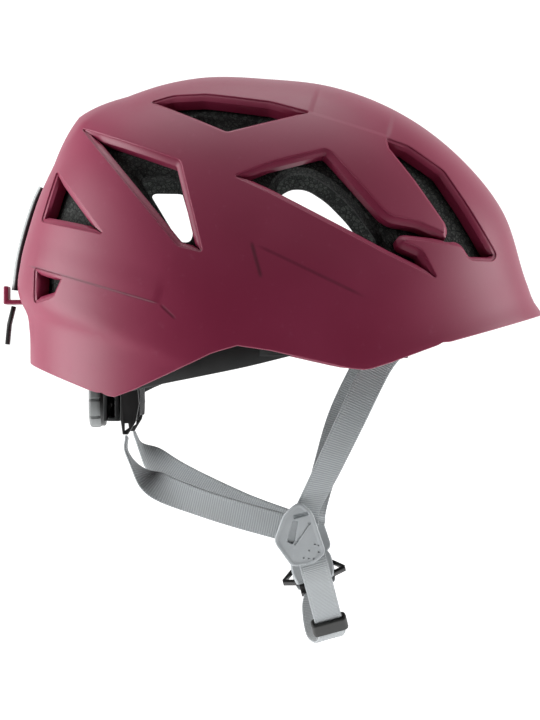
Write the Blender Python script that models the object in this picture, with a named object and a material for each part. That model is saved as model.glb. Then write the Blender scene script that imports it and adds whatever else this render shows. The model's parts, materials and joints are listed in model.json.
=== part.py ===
"""Climbing helmet with a vented hard shell, a foam liner, a headband with a nape dial, and a chin strap.

The frame is the head's: +X forward, +Y to the wearer's left, +Z up, with the origin inside the
headband at the height of the ears. All sizes are in metres.
"""

import math

import bmesh
import bpy
import numpy as np
from mathutils import Matrix, Vector

GAP = 0.0004  # between two pieces that touch
FIT = 0.0005  # round a piece that slides

# ---- shell: its side outline, its width and its wall
HALF_WIDTH = 0.108
LENGTH_SCALE = 1.0
SIDE_AXIS = (-0.018, -0.020)  # the axis across the head that every side outline is measured from
OUTLINE_POWER, WIDTH_POWER = 2.2, 2.4
SIDE_OUTLINE = [
    (0.1340, -0.0300), (0.1400, -0.0100), (0.1412, 0.0120), (0.1403, 0.0201), (0.1367, 0.0252),
    (0.1320, 0.0369), (0.1183, 0.0770), (0.0963, 0.1045), (0.0633, 0.1293), (0.0248, 0.1441),
    (-0.0083, 0.1481), (-0.0479, 0.1486), (-0.0750, 0.1425), (-0.1085, 0.1255), (-0.1310, 0.0913),
    (-0.1406, 0.0639), (-0.1445, 0.0480), (-0.1449, 0.0278), (-0.1411, 0.0200), (-0.1397, 0.0110),
    (-0.1392, -0.0066), (-0.1380, -0.0350),
]
CREST_ANGLE, CREST_SPREAD, CREST_RISE = 2.14, 0.16, 0.0040
RIM = [
    (-0.170, -0.001), (-0.138, -0.007), (-0.102, -0.0205), (-0.090, -0.0240), (-0.079, -0.0200),
    (-0.054, -0.0086), (-0.038, -0.0010), (-0.025, 0.0027), (-0.008, 0.0002), (0.017, -0.0055),
    (0.034, -0.0092), (0.042, -0.0098), (0.053, -0.0065), (0.080, 0.0033), (0.107, 0.0107),
    (0.170, 0.0285),
]
SHELL_WALL = 0.0019
SHELL_STEPS = 26
FLANGE_DEPTH = 0.0080
FLANGE_WALL = 0.0018

# ---- vents: corners on the shell as seen from the side; the same vents are on both sides
VENTS = {
    "crown": [(-0.072, 0.132), (-0.060, 0.1355), (-0.042, 0.136), (-0.008, 0.1315), (0.013, 0.1255),
              (-0.031, 0.1135)],
    "rear_upper": [(-0.109, 0.1185), (-0.055, 0.0985), (-0.043, 0.050), (-0.056, 0.0535)],
    "rear_side": [(-0.1225, 0.096), (-0.095, 0.060), (-0.1305, 0.0685)],
    "rear_lower": [(-0.1335, 0.0435), (-0.117, 0.038), (-0.122, 0.0275), (-0.1335, 0.0245)],
    "side": [(-0.027, 0.090), (-0.008, 0.0975), (0.0205, 0.105), (0.024, 0.1035), (0.051, 0.0725),
             (0.055, 0.0695), (0.069, 0.067), (0.084, 0.0605), (0.088, 0.055), (0.062, 0.0575),
             (0.060, 0.0565), (0.0705, 0.052), (0.0785, 0.037), (0.053, 0.049), (-0.008, 0.081)],
    "front": [(0.053, 0.112), (0.065, 0.108), (0.084, 0.095), (0.0965, 0.076), (0.112, 0.0505),
              (0.110, 0.047), (0.0965, 0.047), (0.0915, 0.0545), (0.082, 0.0555), (0.0835, 0.065),
              (0.0675, 0.0885), (0.0535, 0.107)],
}
LINER_HOLES = {
    "crown": [(-0.050, 0.131), (-0.012, 0.127), (-0.030, 0.117)],
    "rear_upper": [(-0.080, 0.092), (-0.061, 0.092), (-0.050, 0.062), (-0.052, 0.057), (-0.060, 0.058)],
    "side": [(-0.006, 0.082), (-0.003, 0.0885), (0.004, 0.0925), (0.013, 0.0920), (0.024, 0.0850),
             (0.036, 0.073), (0.047, 0.0575), (0.049, 0.051)],
}
LINER_THICKNESS = 0.020
LINER_GAP = 0.0015  # to the shell, enough for the flats of both
LINER_LIFT = 0.016

# ---- rear headlamp loop and its hook on the shell
HOOK_HEIGHT = 0.0300
HOOK_SIZE = (0.0085, 0.016, 0.010)
LOOP_TOP = (-0.1345, 0.0, 0.0900)
LOOP_DIAMETER = 0.0040

# ---- headband
LINING = SHELL_WALL + LINER_GAP + LINER_THICKNESS
BAND_SIDE_ROOM, BAND_FRONT_ROOM = 0.0056, 0.0189  # between the liner and the band
BAND_HALF_WIDTH = HALF_WIDTH - LINING - BAND_SIDE_ROOM
BAND_LENGTH = SIDE_OUTLINE[3][0] - LINING - BAND_FRONT_ROOM
BAND_HEIGHT, BAND_WALL = 0.019, 0.0015
BAND_SIDE_Z, BAND_FRONT_Z = 0.006, 0.0225
BAND_SWEEP = math.radians(98)
PAD_THICKNESS = 0.006

# ---- nape adjuster
DIAL_CENTRE_Z = -0.027
HOUSING_BACK, HOUSING_FRONT = -0.0980, -0.0895
HOUSING_HALF_WIDTH, HOUSING_HEIGHT = 0.030, 0.023
HOUSING_WALL = 0.0012
KNOB_RADIUS, KNOB_THICKNESS = 0.0155, 0.0088
KNOB_RIBS, KNOB_GROOVE = 9, 0.0016
PINION_RADIUS, PINION_TEETH = 0.0050, 10
GEAR_WIDTH = 0.0026
RACK_BACK = 0.0030
ARM_HEIGHT, ARM_NECK, ARM_WALL = 0.0130, 0.0038, 0.0015
STEM_HALF_WIDTH, STEM_WALL, STEM_TOP = 0.009, 0.0024, 0.046
BRACKET_BACK = -0.1384 + LINING  # against the inside of the liner
WING_HALF_WIDTH, WING_BOW = 0.036, 0.0060
CRADLE_WALL = 0.0022
NAPE_PAD_THICKNESS = 0.0040
HOOK_OUTLINE = [
    (-0.0052, -0.010), (-0.0052, 0.0095), (0.0036, 0.0095), (0.0048, -0.002), (0.0030, -0.0115),
    (-0.0012, -0.0185), (-0.0040, -0.0185),
]

# ---- webbing, dividers, buckle and keeper
WEBBING_WIDTH, WEBBING_THICKNESS = 0.0150, 0.0014
REAR_ROUTE = {
    "right": [(-0.0852, 0.0345, -0.0466), (-0.0852, 0.0355, -0.0545), (-0.0787, 0.0385, -0.0640),
              (-0.0672, 0.0440, -0.0730), (-0.0487, 0.0510, -0.0800), (-0.0284, 0.0580, -0.0862)],
    "left": [(-0.0846, 0.0345, -0.0466), (-0.0800, 0.0365, -0.0560), (-0.0690, 0.0410, -0.0650),
             (-0.0530, 0.0480, -0.0745), (-0.0240, 0.0580, -0.0885)],
}
REAR_TURN = {"right": (0.16, 0.72), "left": (0.02, 0.30)}  # where each strap starts and ends its turn
DIVIDER_THICKNESS = 0.0026
DIVIDER_OUTLINE = [
    (-0.0068, 0.0110), (-0.0010, 0.0158), (0.0030, 0.0172), (0.0086, 0.0110), (0.0136, -0.0120),
    (0.0065, -0.0174), (-0.0050, -0.0180), (-0.0132, -0.0030),
]
DIVIDER_SLOTS = [
    [(-0.0045, 0.0100), (0.0040, 0.0125), (0.0046, 0.0095), (-0.0040, 0.0065)],
    [(-0.0085, -0.0010), (-0.0055, 0.0050), (-0.0030, 0.0040), (-0.0055, -0.0030)],
]
ANCHOR_THICKNESS = 0.003
STRAP_BEHIND = 0.3 * WEBBING_WIDTH - 0.0030  # a wider strap stands further behind its sloping divider
PLUG_THICKNESS = 0.0034
BUCKLE_WIDTH, BUCKLE_LENGTH, BUCKLE_DEPTH = 0.024, 0.020, 0.0080
BUCKLE_WALL = 0.0018
KEEPER_HEIGHT, KEEPER_WALL = 0.0105, 0.0018


# ------------------------------------------------------------------ the surface of the shell
def outline_radius(angle):
    """Distance from the side axis to the shell's outline, by a smooth curve through its points."""
    corners = np.array(SIDE_OUTLINE) * (LENGTH_SCALE, 1.0) - SIDE_AXIS
    angles = np.arctan2(corners[:, 1], corners[:, 0]) % (2 * math.pi)
    angles[angles > 1.5 * math.pi] -= 2 * math.pi
    order = np.argsort(angles)
    angles, radii = angles[order], np.hypot(*corners[order].T)
    slopes = np.gradient(radii, angles)
    angle = np.clip(angle, angles[0], angles[-1])
    step = np.clip(np.searchsorted(angles, angle) - 1, 0, len(angles) - 2)
    width = angles[step + 1] - angles[step]
    t = (angle - angles[step]) / width
    return (
        radii[step] * (1 + 2 * t) * (1 - t) ** 2
        + slopes[step] * width * t * (1 - t) ** 2
        + radii[step + 1] * t**2 * (3 - 2 * t)
        + slopes[step + 1] * width * t**2 * (t - 1)
    )


def polar(x, z):
    across, up = x - SIDE_AXIS[0], z - SIDE_AXIS[1]
    angle = np.arctan2(up, across)
    return np.where(angle < -math.pi / 2, angle + 2 * math.pi, angle), np.hypot(across, up)


def crest_share(x, z):
    """1 on the crest at the rear of the crown, fading to 0 in front, behind and to the sides."""
    angle, distance = polar(x, z)
    near_middle = np.clip((distance / outline_radius(angle) - 0.86) / 0.12, 0, 1)
    return np.clip(1 - np.abs(angle - CREST_ANGLE) / CREST_SPREAD, 0, 1) * near_middle**2


def fill_of(x, z):
    """0 on the side axis and 1 on the outline."""
    angle, distance = polar(x, z)
    return distance / (outline_radius(angle) + CREST_RISE * crest_share(x, z))


def half_width(x, z):
    """How far the shell's outside stands from the middle plane, at a place seen from the side."""
    inside = np.clip(1 - fill_of(x, z) ** OUTLINE_POWER, 0, 1)
    return HALF_WIDTH * inside ** (1 / WIDTH_POWER)


def rim_height(x):
    return np.interp(x, *np.array(RIM).T)


def outside(points):
    """Below zero inside the shell's outer surface and above zero outside it."""
    x, y, z = np.moveaxis(points, -1, 0)
    return fill_of(x, z) ** OUTLINE_POWER + np.abs(y / HALF_WIDTH) ** WIDTH_POWER - 1


def normals_at(points):
    step = 1e-4
    slopes = [outside(points + step * axis) - outside(points - step * axis) for axis in np.eye(3)]
    slopes = np.stack(slopes, axis=-1)
    return slopes / np.linalg.norm(slopes, axis=-1, keepdims=True)


def cast(centre, directions):
    """Where rays from a centre inside meet the outer surface."""
    near = np.zeros(directions.shape[:-1])
    far = np.full(directions.shape[:-1], 0.3)
    for _ in range(40):
        middle = (near + far) / 2
        hit = outside(centre + middle[..., None] * directions) > 0
        near, far = np.where(hit, near, middle), np.where(hit, middle, far)
    return centre + near[..., None] * directions


def dome_points(steps, lift):
    """A square grid of points over the whole shell, from the crown out to the rim, with no pole."""
    line = np.linspace(-1, 1, steps + 1)
    a, b = np.meshgrid(line, line, indexing="ij")
    reach = np.maximum(np.abs(a), np.abs(b))
    with np.errstate(divide="ignore", invalid="ignore"):
        turn = np.where(np.abs(a) >= np.abs(b), b / a * math.pi / 4, math.pi / 2 - a / b * math.pi / 4)
    turn = np.where(reach == 0, 0, turn)
    flip = np.where(np.abs(a) >= np.abs(b), a < 0, b < 0)
    turn = turn + np.where(flip, math.pi, 0)
    centre = np.array([-0.008 * LENGTH_SCALE, 0, 0.020])

    def ray(tilt):
        return np.stack([np.sin(tilt) * np.cos(turn), np.sin(tilt) * np.sin(turn), np.cos(tilt)], axis=-1)

    low, high = np.full(turn.shape, 0.3), np.full(turn.shape, 2.4)
    for _ in range(36):
        middle = (low + high) / 2
        spots = cast(centre, ray(middle))
        above = spots[..., 2] > rim_height(spots[..., 0]) + lift
        low, high = np.where(above, middle, low), np.where(above, high, middle)
    return cast(centre, ray(reach * low))


# ------------------------------------------------------------------ making objects
def finish(name, colour, roughness=0.5, metallic=0.0):
    material = bpy.data.materials.new(name)
    material.use_nodes = True
    shader = material.node_tree.nodes["Principled BSDF"]
    shader.inputs["Base Color"].default_value = (*colour, 1)
    shader.inputs["Roughness"].default_value = roughness
    shader.inputs["Metallic"].default_value = metallic
    return material


def build(name, vertices, faces, material=None):
    mesh = bpy.data.meshes.new(name)
    mesh.from_pydata([tuple(map(float, vertex)) for vertex in vertices], [], faces)
    mesh.validate()
    work = bmesh.new()
    work.from_mesh(mesh)
    bmesh.ops.recalc_face_normals(work, faces=work.faces)
    work.to_mesh(mesh)
    work.free()
    piece = bpy.data.objects.new(name, mesh)
    bpy.context.scene.collection.objects.link(piece)
    if material:
        mesh.materials.append(material)
    return piece


def combine(piece, tool, operation="DIFFERENCE"):
    """Cuts or joins with a tool, which is used up."""
    modifier = piece.modifiers.new(operation.title(), "BOOLEAN")
    modifier.operation = operation
    modifier.object = tool
    graph = bpy.context.evaluated_depsgraph_get()
    mesh = bpy.data.meshes.new_from_object(piece.evaluated_get(graph))
    piece.modifiers.clear()
    piece.data = mesh
    bpy.data.objects.remove(tool)
    return piece


def smooth(piece, angle=35):
    piece.data.shade_smooth()
    piece.data.set_sharp_from_angle(angle=math.radians(angle))
    return piece


def pivot(piece, point):
    """Puts the object's origin on its joint's axis, with its shape left in place."""
    piece.data.transform(Matrix.Translation(-Vector(point)))
    piece.location = point
    return piece


def slab(name, outer, inner, material=None):
    """A closed wall between two matching grids of points."""
    rows, columns = outer.shape[:2]
    number = np.arange(rows * columns).reshape(rows, columns)
    under = number + rows * columns
    faces = []
    for i in range(rows - 1):
        for j in range(columns - 1):
            faces.append((number[i, j], number[i + 1, j], number[i + 1, j + 1], number[i, j + 1]))
            faces.append((under[i, j], under[i, j + 1], under[i + 1, j + 1], under[i + 1, j]))
    edge = [*number[:, 0], *number[-1, 1:], *number[-2::-1, -1], *number[0, -2:0:-1]]
    shift = rows * columns
    for first, second in zip(edge, edge[1:] + edge[:1]):
        faces.append((first, first + shift, second + shift, second))
    faces = [tuple(int(corner) for corner in face) for face in faces]
    return build(name, np.concatenate([outer.reshape(-1, 3), inner.reshape(-1, 3)]), faces, material)


def prism(name, corners, offset_up, offset_down, material=None):
    """A closed prism through a loop of corners, from one side of them to the other."""
    corners = np.array(corners, float)
    count = len(corners)
    vertices = np.concatenate([corners + offset_up, corners + offset_down])
    faces = [tuple(range(count)), tuple(range(2 * count - 1, count - 1, -1))]
    for i in range(count):
        j = (i + 1) % count
        faces.append((i, i + count, j + count, j))
    return build(name, vertices, faces, material)


def plate(name, outline, frame, thickness, material=None):
    """A flat plate: an outline in the frame's first two axes, extruded both ways along its third."""
    corners = [frame @ Vector((u, v, 0)) for u, v in outline]
    half = np.array(frame.to_3x3() @ Vector((0, 0, thickness / 2)))
    return prism(name, corners, half, -half, material)


def block(name, low, high, material=None):
    outline = [(low[0], low[1]), (high[0], low[1]), (high[0], high[1]), (low[0], high[1])]
    frame = Matrix.Translation((0, 0, (low[2] + high[2]) / 2))
    return plate(name, outline, frame, high[2] - low[2], material)


def turned(name, profile, frame, material=None, steps=24):
    """A solid of revolution about the frame's third axis; the profile is (radius, height) pairs."""
    vertices, faces = [], []
    for step in range(steps):
        angle = 2 * math.pi * step / steps
        for radius, height in profile:
            spot = Vector((radius * math.cos(angle), radius * math.sin(angle), height))
            vertices.append(frame @ spot)
    count = len(profile)
    for step in range(steps):
        here, there = step * count, (step + 1) % steps * count
        for i in range(count - 1):
            faces.append((here + i, there + i, there + i + 1, here + i + 1))
    faces.append(tuple(step * count for step in range(steps)))
    faces.append(tuple(step * count + count - 1 for step in reversed(range(steps))))
    return build(name, vertices, faces, material)


def ribbon(name, middle, across, width, thickness, material=None):
    """A flat strap along a line of points; across gives the direction of its width at each one."""
    middle, across = np.array(middle, float), np.array(across, float)
    along = np.gradient(middle, axis=0)
    along /= np.linalg.norm(along, axis=1, keepdims=True)
    across = across - along * np.sum(across * along, axis=1, keepdims=True)
    across /= np.linalg.norm(across, axis=1, keepdims=True)
    face = np.cross(along, across)
    upper = np.stack([middle - across * width / 2, middle + across * width / 2], axis=1)
    lift = face[:, None, :] * thickness / 2
    return slab(name, upper + lift, upper - lift, material)


def curve_through(points, count):
    """Evenly numbered points on a smooth curve through the given ones."""
    points = np.array(points, float)
    places = np.arange(len(points), dtype=float)
    slopes = np.gradient(points, axis=0)
    found = []
    for place in np.linspace(0, len(points) - 1, count):
        step = min(int(place), len(points) - 2)
        t = place - places[step]
        found.append(
            points[step] * (1 + 2 * t) * (1 - t) ** 2
            + slopes[step] * t * (1 - t) ** 2
            + points[step + 1] * t**2 * (3 - 2 * t)
            + slopes[step + 1] * t**2 * (t - 1)
        )
    return np.array(found)


def facing(point, along, across):
    """A frame at a point whose first axis is across and whose second runs along."""
    along = Vector(along).normalized()
    across = Vector(across)
    across = (across - along * across.dot(along)).normalized()
    normal = across.cross(along)
    frame = Matrix((across, along, normal)).transposed().to_4x4()
    frame.translation = point
    return frame


# ------------------------------------------------------------------ shell and liner
def grown(corners, normal, width):
    """The loop of corners pushed outwards by a width, square to the vent's own direction."""
    normal = Vector(normal)
    count = len(corners)
    spots = [Vector(corner) for corner in corners]
    area = sum((spots[i].cross(spots[(i + 1) % count]) for i in range(count)), Vector())
    turn = 1 if area.dot(normal) > 0 else -1
    moved = []
    for i, spot in enumerate(spots):
        before = spot - spots[i - 1]
        after = spots[(i + 1) % count] - spot
        flat = [edge - normal * edge.dot(normal) for edge in (before, after)]
        sides = [edge.normalized().cross(normal) * turn for edge in flat]
        miter = sides[0] + sides[1]
        miter *= width / max(miter.dot(sides[0]), 0.45)
        moved.append(tuple(spot + miter))
    return moved


def vent_loop(outline, side):
    """The vent's corners on the outer surface of one side, and the direction it is moulded in."""
    flat = np.array(outline) * (LENGTH_SCALE, 1.0)
    corners = np.stack([flat[:, 0], side * half_width(flat[:, 0], flat[:, 1]), flat[:, 1]], axis=-1)
    normal = normals_at(corners).mean(axis=0)
    return corners, normal / np.linalg.norm(normal)


def vent_prisms(outline, growth, above, below, level=False):
    """A cutter on each side: growth widens the vent, and level cuts straight across the head."""
    prisms = []
    for side in (-1, 1):
        corners, normal = vent_loop(outline, side)
        if level:
            normal = np.array((0.0, side, 0.0))
        loop = grown(corners, normal, growth) if growth else corners
        prisms.append(prism("vent", loop, normal * above, -normal * below))
    return prisms


def make_shell(material):
    points = dome_points(SHELL_STEPS, 0.0)
    normals = normals_at(points)
    shell = slab("shell", points, points - normals * SHELL_WALL, material)
    for outline in VENTS.values():
        for frame in vent_prisms(outline, FLANGE_WALL, 0.03, 0.03):
            core = slab("core", points - normals * SHELL_WALL / 3, points - normals * FLANGE_DEPTH)
            combine(shell, combine(core, frame, "INTERSECT"), "UNION")
    for outline in VENTS.values():
        for hole in vent_prisms(outline, 0.0, 0.03, 0.05):
            combine(shell, hole)
    rear = -float(cast(np.array([0, 0, HOOK_HEIGHT]), np.array([-1.0, 0, 0]))[0])
    length, width, height = HOOK_SIZE
    outline = [
        (-rear + SHELL_WALL, HOOK_HEIGHT - height / 2), (-rear - length, HOOK_HEIGHT - height / 2),
        (-rear - length, HOOK_HEIGHT + height / 2), (-rear - length + 0.0025, HOOK_HEIGHT + height / 2),
        (-rear - length + 0.0025, HOOK_HEIGHT - height / 4),
        (-rear + SHELL_WALL / 2, HOOK_HEIGHT - height / 4),
    ]
    corners = [(x, 0, z) for x, z in outline]
    half = np.array((0, width / 2, 0))
    combine(shell, prism("hook", corners, half, -half), "UNION")
    return smooth(shell)


def make_liner(material):
    points = dome_points(SHELL_STEPS, LINER_LIFT)
    normals = normals_at(points)
    inside = SHELL_WALL + LINER_GAP + LINER_THICKNESS
    under_crest = CREST_RISE * crest_share(points[..., 0], points[..., 2])[..., None]
    surface = points - normals * (SHELL_WALL + LINER_GAP + under_crest)
    liner = slab("foam_liner", surface, points - normals * inside, material)
    for outline in VENTS.values():
        for frame in vent_prisms(outline, FLANGE_WALL + LINER_GAP / 2, 0.03, 0.03):
            core = slab("core", points, points - normals * (FLANGE_DEPTH + LINER_GAP))
            combine(liner, combine(core, frame, "INTERSECT"))
    for name, outline in LINER_HOLES.items():
        for hole in vent_prisms(outline, 0.0, 0.03, 0.06, name == "side"):
            combine(liner, hole)
    return smooth(liner)


# ------------------------------------------------------------------ headband and pads
def band_place(sweep, inset=0.0, rise=0.0):
    x = (BAND_LENGTH - inset) * LENGTH_SCALE * math.cos(sweep)
    y = (BAND_HALF_WIDTH - inset) * math.sin(sweep)
    share = max(math.cos(sweep), 0.0) ** 1.4
    return x, y, BAND_SIDE_Z + (BAND_FRONT_Z - BAND_SIDE_Z) * share + rise


def strip_on_band(name, sweep, inset, height, thickness, count, material):
    angles = np.linspace(-sweep, sweep, count)
    middle = [band_place(angle, inset) for angle in angles]
    return ribbon(name, middle, [(0, 0, 1)] * count, height, thickness, material)


def make_headband(band_material, pad_material, peg_material):
    strip_on_band("headband_front", BAND_SWEEP, 0.0, BAND_HEIGHT, BAND_WALL, 33, band_material)
    inset = BAND_WALL / 2 + GAP + PAD_THICKNESS / 2
    strip_on_band("brow_pad", math.radians(58), inset, BAND_HEIGHT + 0.006, PAD_THICKNESS, 17, pad_material)
    for name, sweep in (("front", math.radians(28)), ("side", math.radians(76))):
        for label, side in (("right", -1), ("left", 1)):
            place = Vector(band_place(side * sweep, -(BAND_WALL / 2 + GAP)))
            outward = Vector((place.x / BAND_LENGTH**2, place.y / BAND_HALF_WIDTH**2, 0)).normalized()
            far = cast(np.array(place), np.array(outward))
            room = (Vector(far) - place).length - SHELL_WALL - LINER_THICKNESS - 0.0035
            frame = outward.to_track_quat("Z", "Y").to_matrix().to_4x4()
            frame.translation = place
            length = max(room, 0.002)
            profile = [(0.0045, 0), (0.0045, 0.0012), (0.0022, 0.0012), (0.0022, length)]
            turned(f"band_peg_{name}_{label}", profile, frame, peg_material, 12)


def make_pads(material):
    """Thin comfort pads stuck to the inside of the liner."""
    points = dome_points(SHELL_STEPS, LINER_LIFT)
    normals = normals_at(points)
    outer = SHELL_WALL + LINER_GAP + GAP + LINER_THICKNESS
    middle = SHELL_STEPS // 2
    patches = {
        "crown_pad_front": (slice(middle + 2, middle + 7), slice(middle - 1, middle + 2)),
        "crown_pad_rear": (slice(middle - 5, middle), slice(middle - 1, middle + 2)),
    }
    for name, (rows, columns) in patches.items():
        spots, away = points[rows, columns], normals[rows, columns]
        slab(name, spots - away * outer, spots - away * (outer + 0.005), material)


# ------------------------------------------------------------------ nape adjuster
def gear_outline():
    """Ten slim teeth, narrow enough to run between the racks' teeth with play."""
    outline = []
    module = 2 * PINION_RADIUS / PINION_TEETH
    for tooth in range(PINION_TEETH):
        angle = 2 * math.pi * tooth / PINION_TEETH + math.pi / 2
        root, tip = PINION_RADIUS - 1.1 * module, PINION_RADIUS + 0.75 * module
        for radius, half in ((root, 0.19), (PINION_RADIUS, 0.10), (tip, 0.045)):
            outline.append((radius, angle - half))
        for radius, half in ((tip, 0.045), (PINION_RADIUS, 0.10), (root, 0.19)):
            outline.append((radius, angle + half))
    return [(radius * math.cos(angle), radius * math.sin(angle)) for radius, angle in outline]


def rack_outline(side):
    """The toothed end of an arm, in the plane of the gear: y and z about the gear's centre."""
    pitch = 2 * math.pi * PINION_RADIUS / PINION_TEETH
    module = pitch / math.pi
    root, tip = PINION_RADIUS + 1.05 * module, PINION_RADIUS - 0.7 * module
    back = root + RACK_BACK
    count = 11
    start = -3.5
    teeth = []
    for tooth in range(count):
        middle = (start + tooth) * pitch
        for height, offset in ((root, -0.30), (tip, -0.12), (tip, 0.12), (root, 0.30)):
            teeth.append((middle + offset * pitch, height))
    first, last = teeth[0][0] - 0.0006, HOUSING_HALF_WIDTH + 0.022
    outline = [(first, root), *teeth, (last, root), (last, back), (first, back)]
    return [(side * y, -side * z) for y, z in outline]


def make_arm(label, side, material):
    """A toothed rack that goes on as the springy strip along the side of the head."""
    gear_x = (HOUSING_BACK + HOUSING_FRONT) / 2
    frame = Matrix(((0, 0, 1), (1, 0, 0), (0, 1, 0))).to_4x4()
    frame.translation = (gear_x, 0, DIAL_CENTRE_Z)
    arm = plate(f"headband_arm_{label}", rack_outline(side), frame, GEAR_WIDTH, material)
    rack_z = DIAL_CENTRE_Z - side * (PINION_RADIUS + 0.0010 + RACK_BACK / 2)
    turn_y = HOUSING_HALF_WIDTH + 0.020
    route = [
        (gear_x, side * turn_y, rack_z),
        (gear_x + 0.004, side * (turn_y + 0.009), rack_z + (-0.0165 - rack_z) * 0.6),
        (-0.072, side * (BAND_HALF_WIDTH - 0.0140), -0.0130),
        (-0.045, side * (BAND_HALF_WIDTH - 0.0070), -0.0075),
        (-0.021, side * (BAND_HALF_WIDTH - 0.0035), -0.0025),
        (0.006, side * (BAND_HALF_WIDTH - 0.0030), 0.0042),
    ]
    middle = curve_through(route, 21)
    grow = np.clip(np.linspace(0, 3.2, 21), 0, 1)
    heights = ARM_NECK + (ARM_HEIGHT - ARM_NECK) * grow
    strip = tapered_strip("strip", middle, heights, ARM_WALL)
    combine(arm, strip, "UNION")
    return pivot(arm, (gear_x, 0, rack_z))


def tapered_strip(name, middle, heights, thickness):
    """A standing strip whose height changes along its line."""
    along = np.gradient(middle, axis=0)
    along /= np.linalg.norm(along, axis=1, keepdims=True)
    up = np.array([0.0, 0, 1]) - along * along[:, 2:]
    up /= np.linalg.norm(up, axis=1, keepdims=True)
    face = np.cross(along, up)
    edges = np.stack([middle - up * heights[:, None] / 2, middle + up * heights[:, None] / 2], axis=1)
    lift = face[:, None, :] * thickness / 2
    return slab(name, edges + lift, edges - lift)


def make_adjuster(dark, black, grey, foam):
    half_height = HOUSING_HEIGHT / 2
    low, high = DIAL_CENTRE_Z - half_height, DIAL_CENTRE_Z + half_height
    split = HOUSING_BACK + 0.0022
    centre = Vector((0, 0, DIAL_CENTRE_Z))
    axis = Matrix.Rotation(-math.pi / 2, 4, "Y")  # its third axis points backwards
    gear_x = (HOUSING_BACK + HOUSING_FRONT) / 2

    width = HOUSING_HALF_WIDTH
    housing = block("adjuster_housing", (split, -width, low), (HOUSING_FRONT, width, high), dark)
    room = PINION_RADIUS + 0.00105 + RACK_BACK + FIT
    pocket_low, pocket_high = DIAL_CENTRE_Z - room, DIAL_CENTRE_Z + room
    reach = HOUSING_HALF_WIDTH + 0.01
    pocket_front = gear_x + GEAR_WIDTH / 2 + FIT
    pocket = block("pocket", (split - 0.01, -reach, pocket_low), (pocket_front, reach, pocket_high))
    combine(housing, pocket)

    cover = block("adjuster_cover", (HOUSING_BACK, -width, low), (split - GAP, width, high), dark)
    bore = Matrix.Translation(centre + Vector((HOUSING_BACK, 0, 0))) @ axis
    combine(cover, turned("bore", [(0.0032, -0.01), (0.0032, 0.01)], bore))
    stem_x = HOUSING_BACK + STEM_WALL / 2
    stem_front = HOUSING_BACK + STEM_WALL - GAP
    stem_low = (HOUSING_BACK, -STEM_HALF_WIDTH, high - 0.003)
    stem_high = (stem_front, STEM_HALF_WIDTH, STEM_TOP)
    combine(cover, block("stem", stem_low, stem_high), "UNION")
    for step in range(3):
        spot = Matrix.Translation((stem_x, 0, 0.004 + 0.0085 * step)) @ axis
        combine(cover, turned("notch", [(0.0022, -0.01), (0.0022, 0.01)], spot, None, 12))

    cradle_x = HOUSING_FRONT + GAP
    cradle_middle = cradle_x + CRADLE_WALL / 2 + 0.0002
    route = []
    for share in np.linspace(-1, 1, 17):
        bow = WING_BOW * abs(share) ** 2.2
        route.append((cradle_middle + bow, WING_HALF_WIDTH * share, DIAL_CENTRE_Z - 0.001))
    upright = [(0, 0, 1)] * len(route)
    cradle = ribbon("nape_cradle", route, upright, HOUSING_HEIGHT - 0.001, CRADLE_WALL, black)
    for side in (-1, 1):
        hook_middle = (cradle_x + 0.0058, side * (WING_HALF_WIDTH - 0.0015), DIAL_CENTRE_Z)
        hook_frame = Matrix.Translation(hook_middle) @ Matrix.Rotation(math.pi / 2, 4, "X")
        hook = plate("hook", HOOK_OUTLINE, hook_frame, 0.0050)
        combine(cradle, hook, "UNION")
        slot = [(-0.0030, -0.0165), (-0.0030, -0.0125), (0.0000, -0.0125), (-0.0002, -0.0145)]
        combine(cradle, plate("slot", slot, hook_frame, 0.02))
    smooth(cradle)

    ahead = CRADLE_WALL / 2 + GAP + NAPE_PAD_THICKNESS / 2
    pad = [(x + ahead, y * 0.80, z) for x, y, z in route]
    ribbon("nape_pad", pad, upright, HOUSING_HEIGHT - 0.005, NAPE_PAD_THICKNESS, foam)

    knob_frame = Matrix.Translation(centre + Vector((HOUSING_BACK - GAP, 0, 0))) @ axis
    outline = []
    for step in range(KNOB_RIBS * 6):
        angle = 2 * math.pi * step / (KNOB_RIBS * 6)
        radius = KNOB_RADIUS - (KNOB_GROOVE if step % 6 == 0 else 0)
        outline.append((radius * math.cos(angle), radius * math.sin(angle)))
    middle = knob_frame @ Matrix.Translation((0, 0, KNOB_THICKNESS / 2))
    knob = plate("dial_knob", outline, middle, KNOB_THICKNESS, grey)
    pivot(smooth(knob, 20), (HOUSING_BACK, 0, DIAL_CENTRE_Z))

    gear_frame = Matrix(((0, 0, 1), (1, 0, 0), (0, 1, 0))).to_4x4()
    gear_frame.translation = (gear_x, 0, DIAL_CENTRE_Z)
    gear = plate("pinion", gear_outline(), gear_frame, GEAR_WIDTH, black)
    shaft_start = Matrix.Translation((gear_x, 0, DIAL_CENTRE_Z)) @ axis
    shaft_length = gear_x - HOUSING_BACK
    combine(gear, turned("shaft", [(0.0027, 0.0), (0.0027, shaft_length)], shaft_start), "UNION")
    pivot(gear, (gear_x, 0, DIAL_CENTRE_Z))

    across = STEM_HALF_WIDTH + 0.0045
    bracket_low, bracket_high = (BRACKET_BACK, -across, 0.0160), (HOUSING_BACK + 0.0070, across, 0.0300)
    bracket = block("height_bracket", bracket_low, bracket_high, dark)
    room = STEM_HALF_WIDTH + FIT
    slot_low, slot_high = (HOUSING_BACK - FIT, -room, 0.0), (HOUSING_BACK + STEM_WALL + FIT, room, 0.05)
    combine(bracket, block("slot", slot_low, slot_high))


# ------------------------------------------------------------------ straps
def strap_points(side):
    """Where the straps meet on one side: the left divider hangs lower and further forward."""
    left = side > 0
    shift = Vector((0.006, 0, -0.006)) if left else Vector((0, 0, 0))
    divider = Vector((0.0065, side * 0.066, -0.0965)) + shift
    return divider, shift


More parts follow.
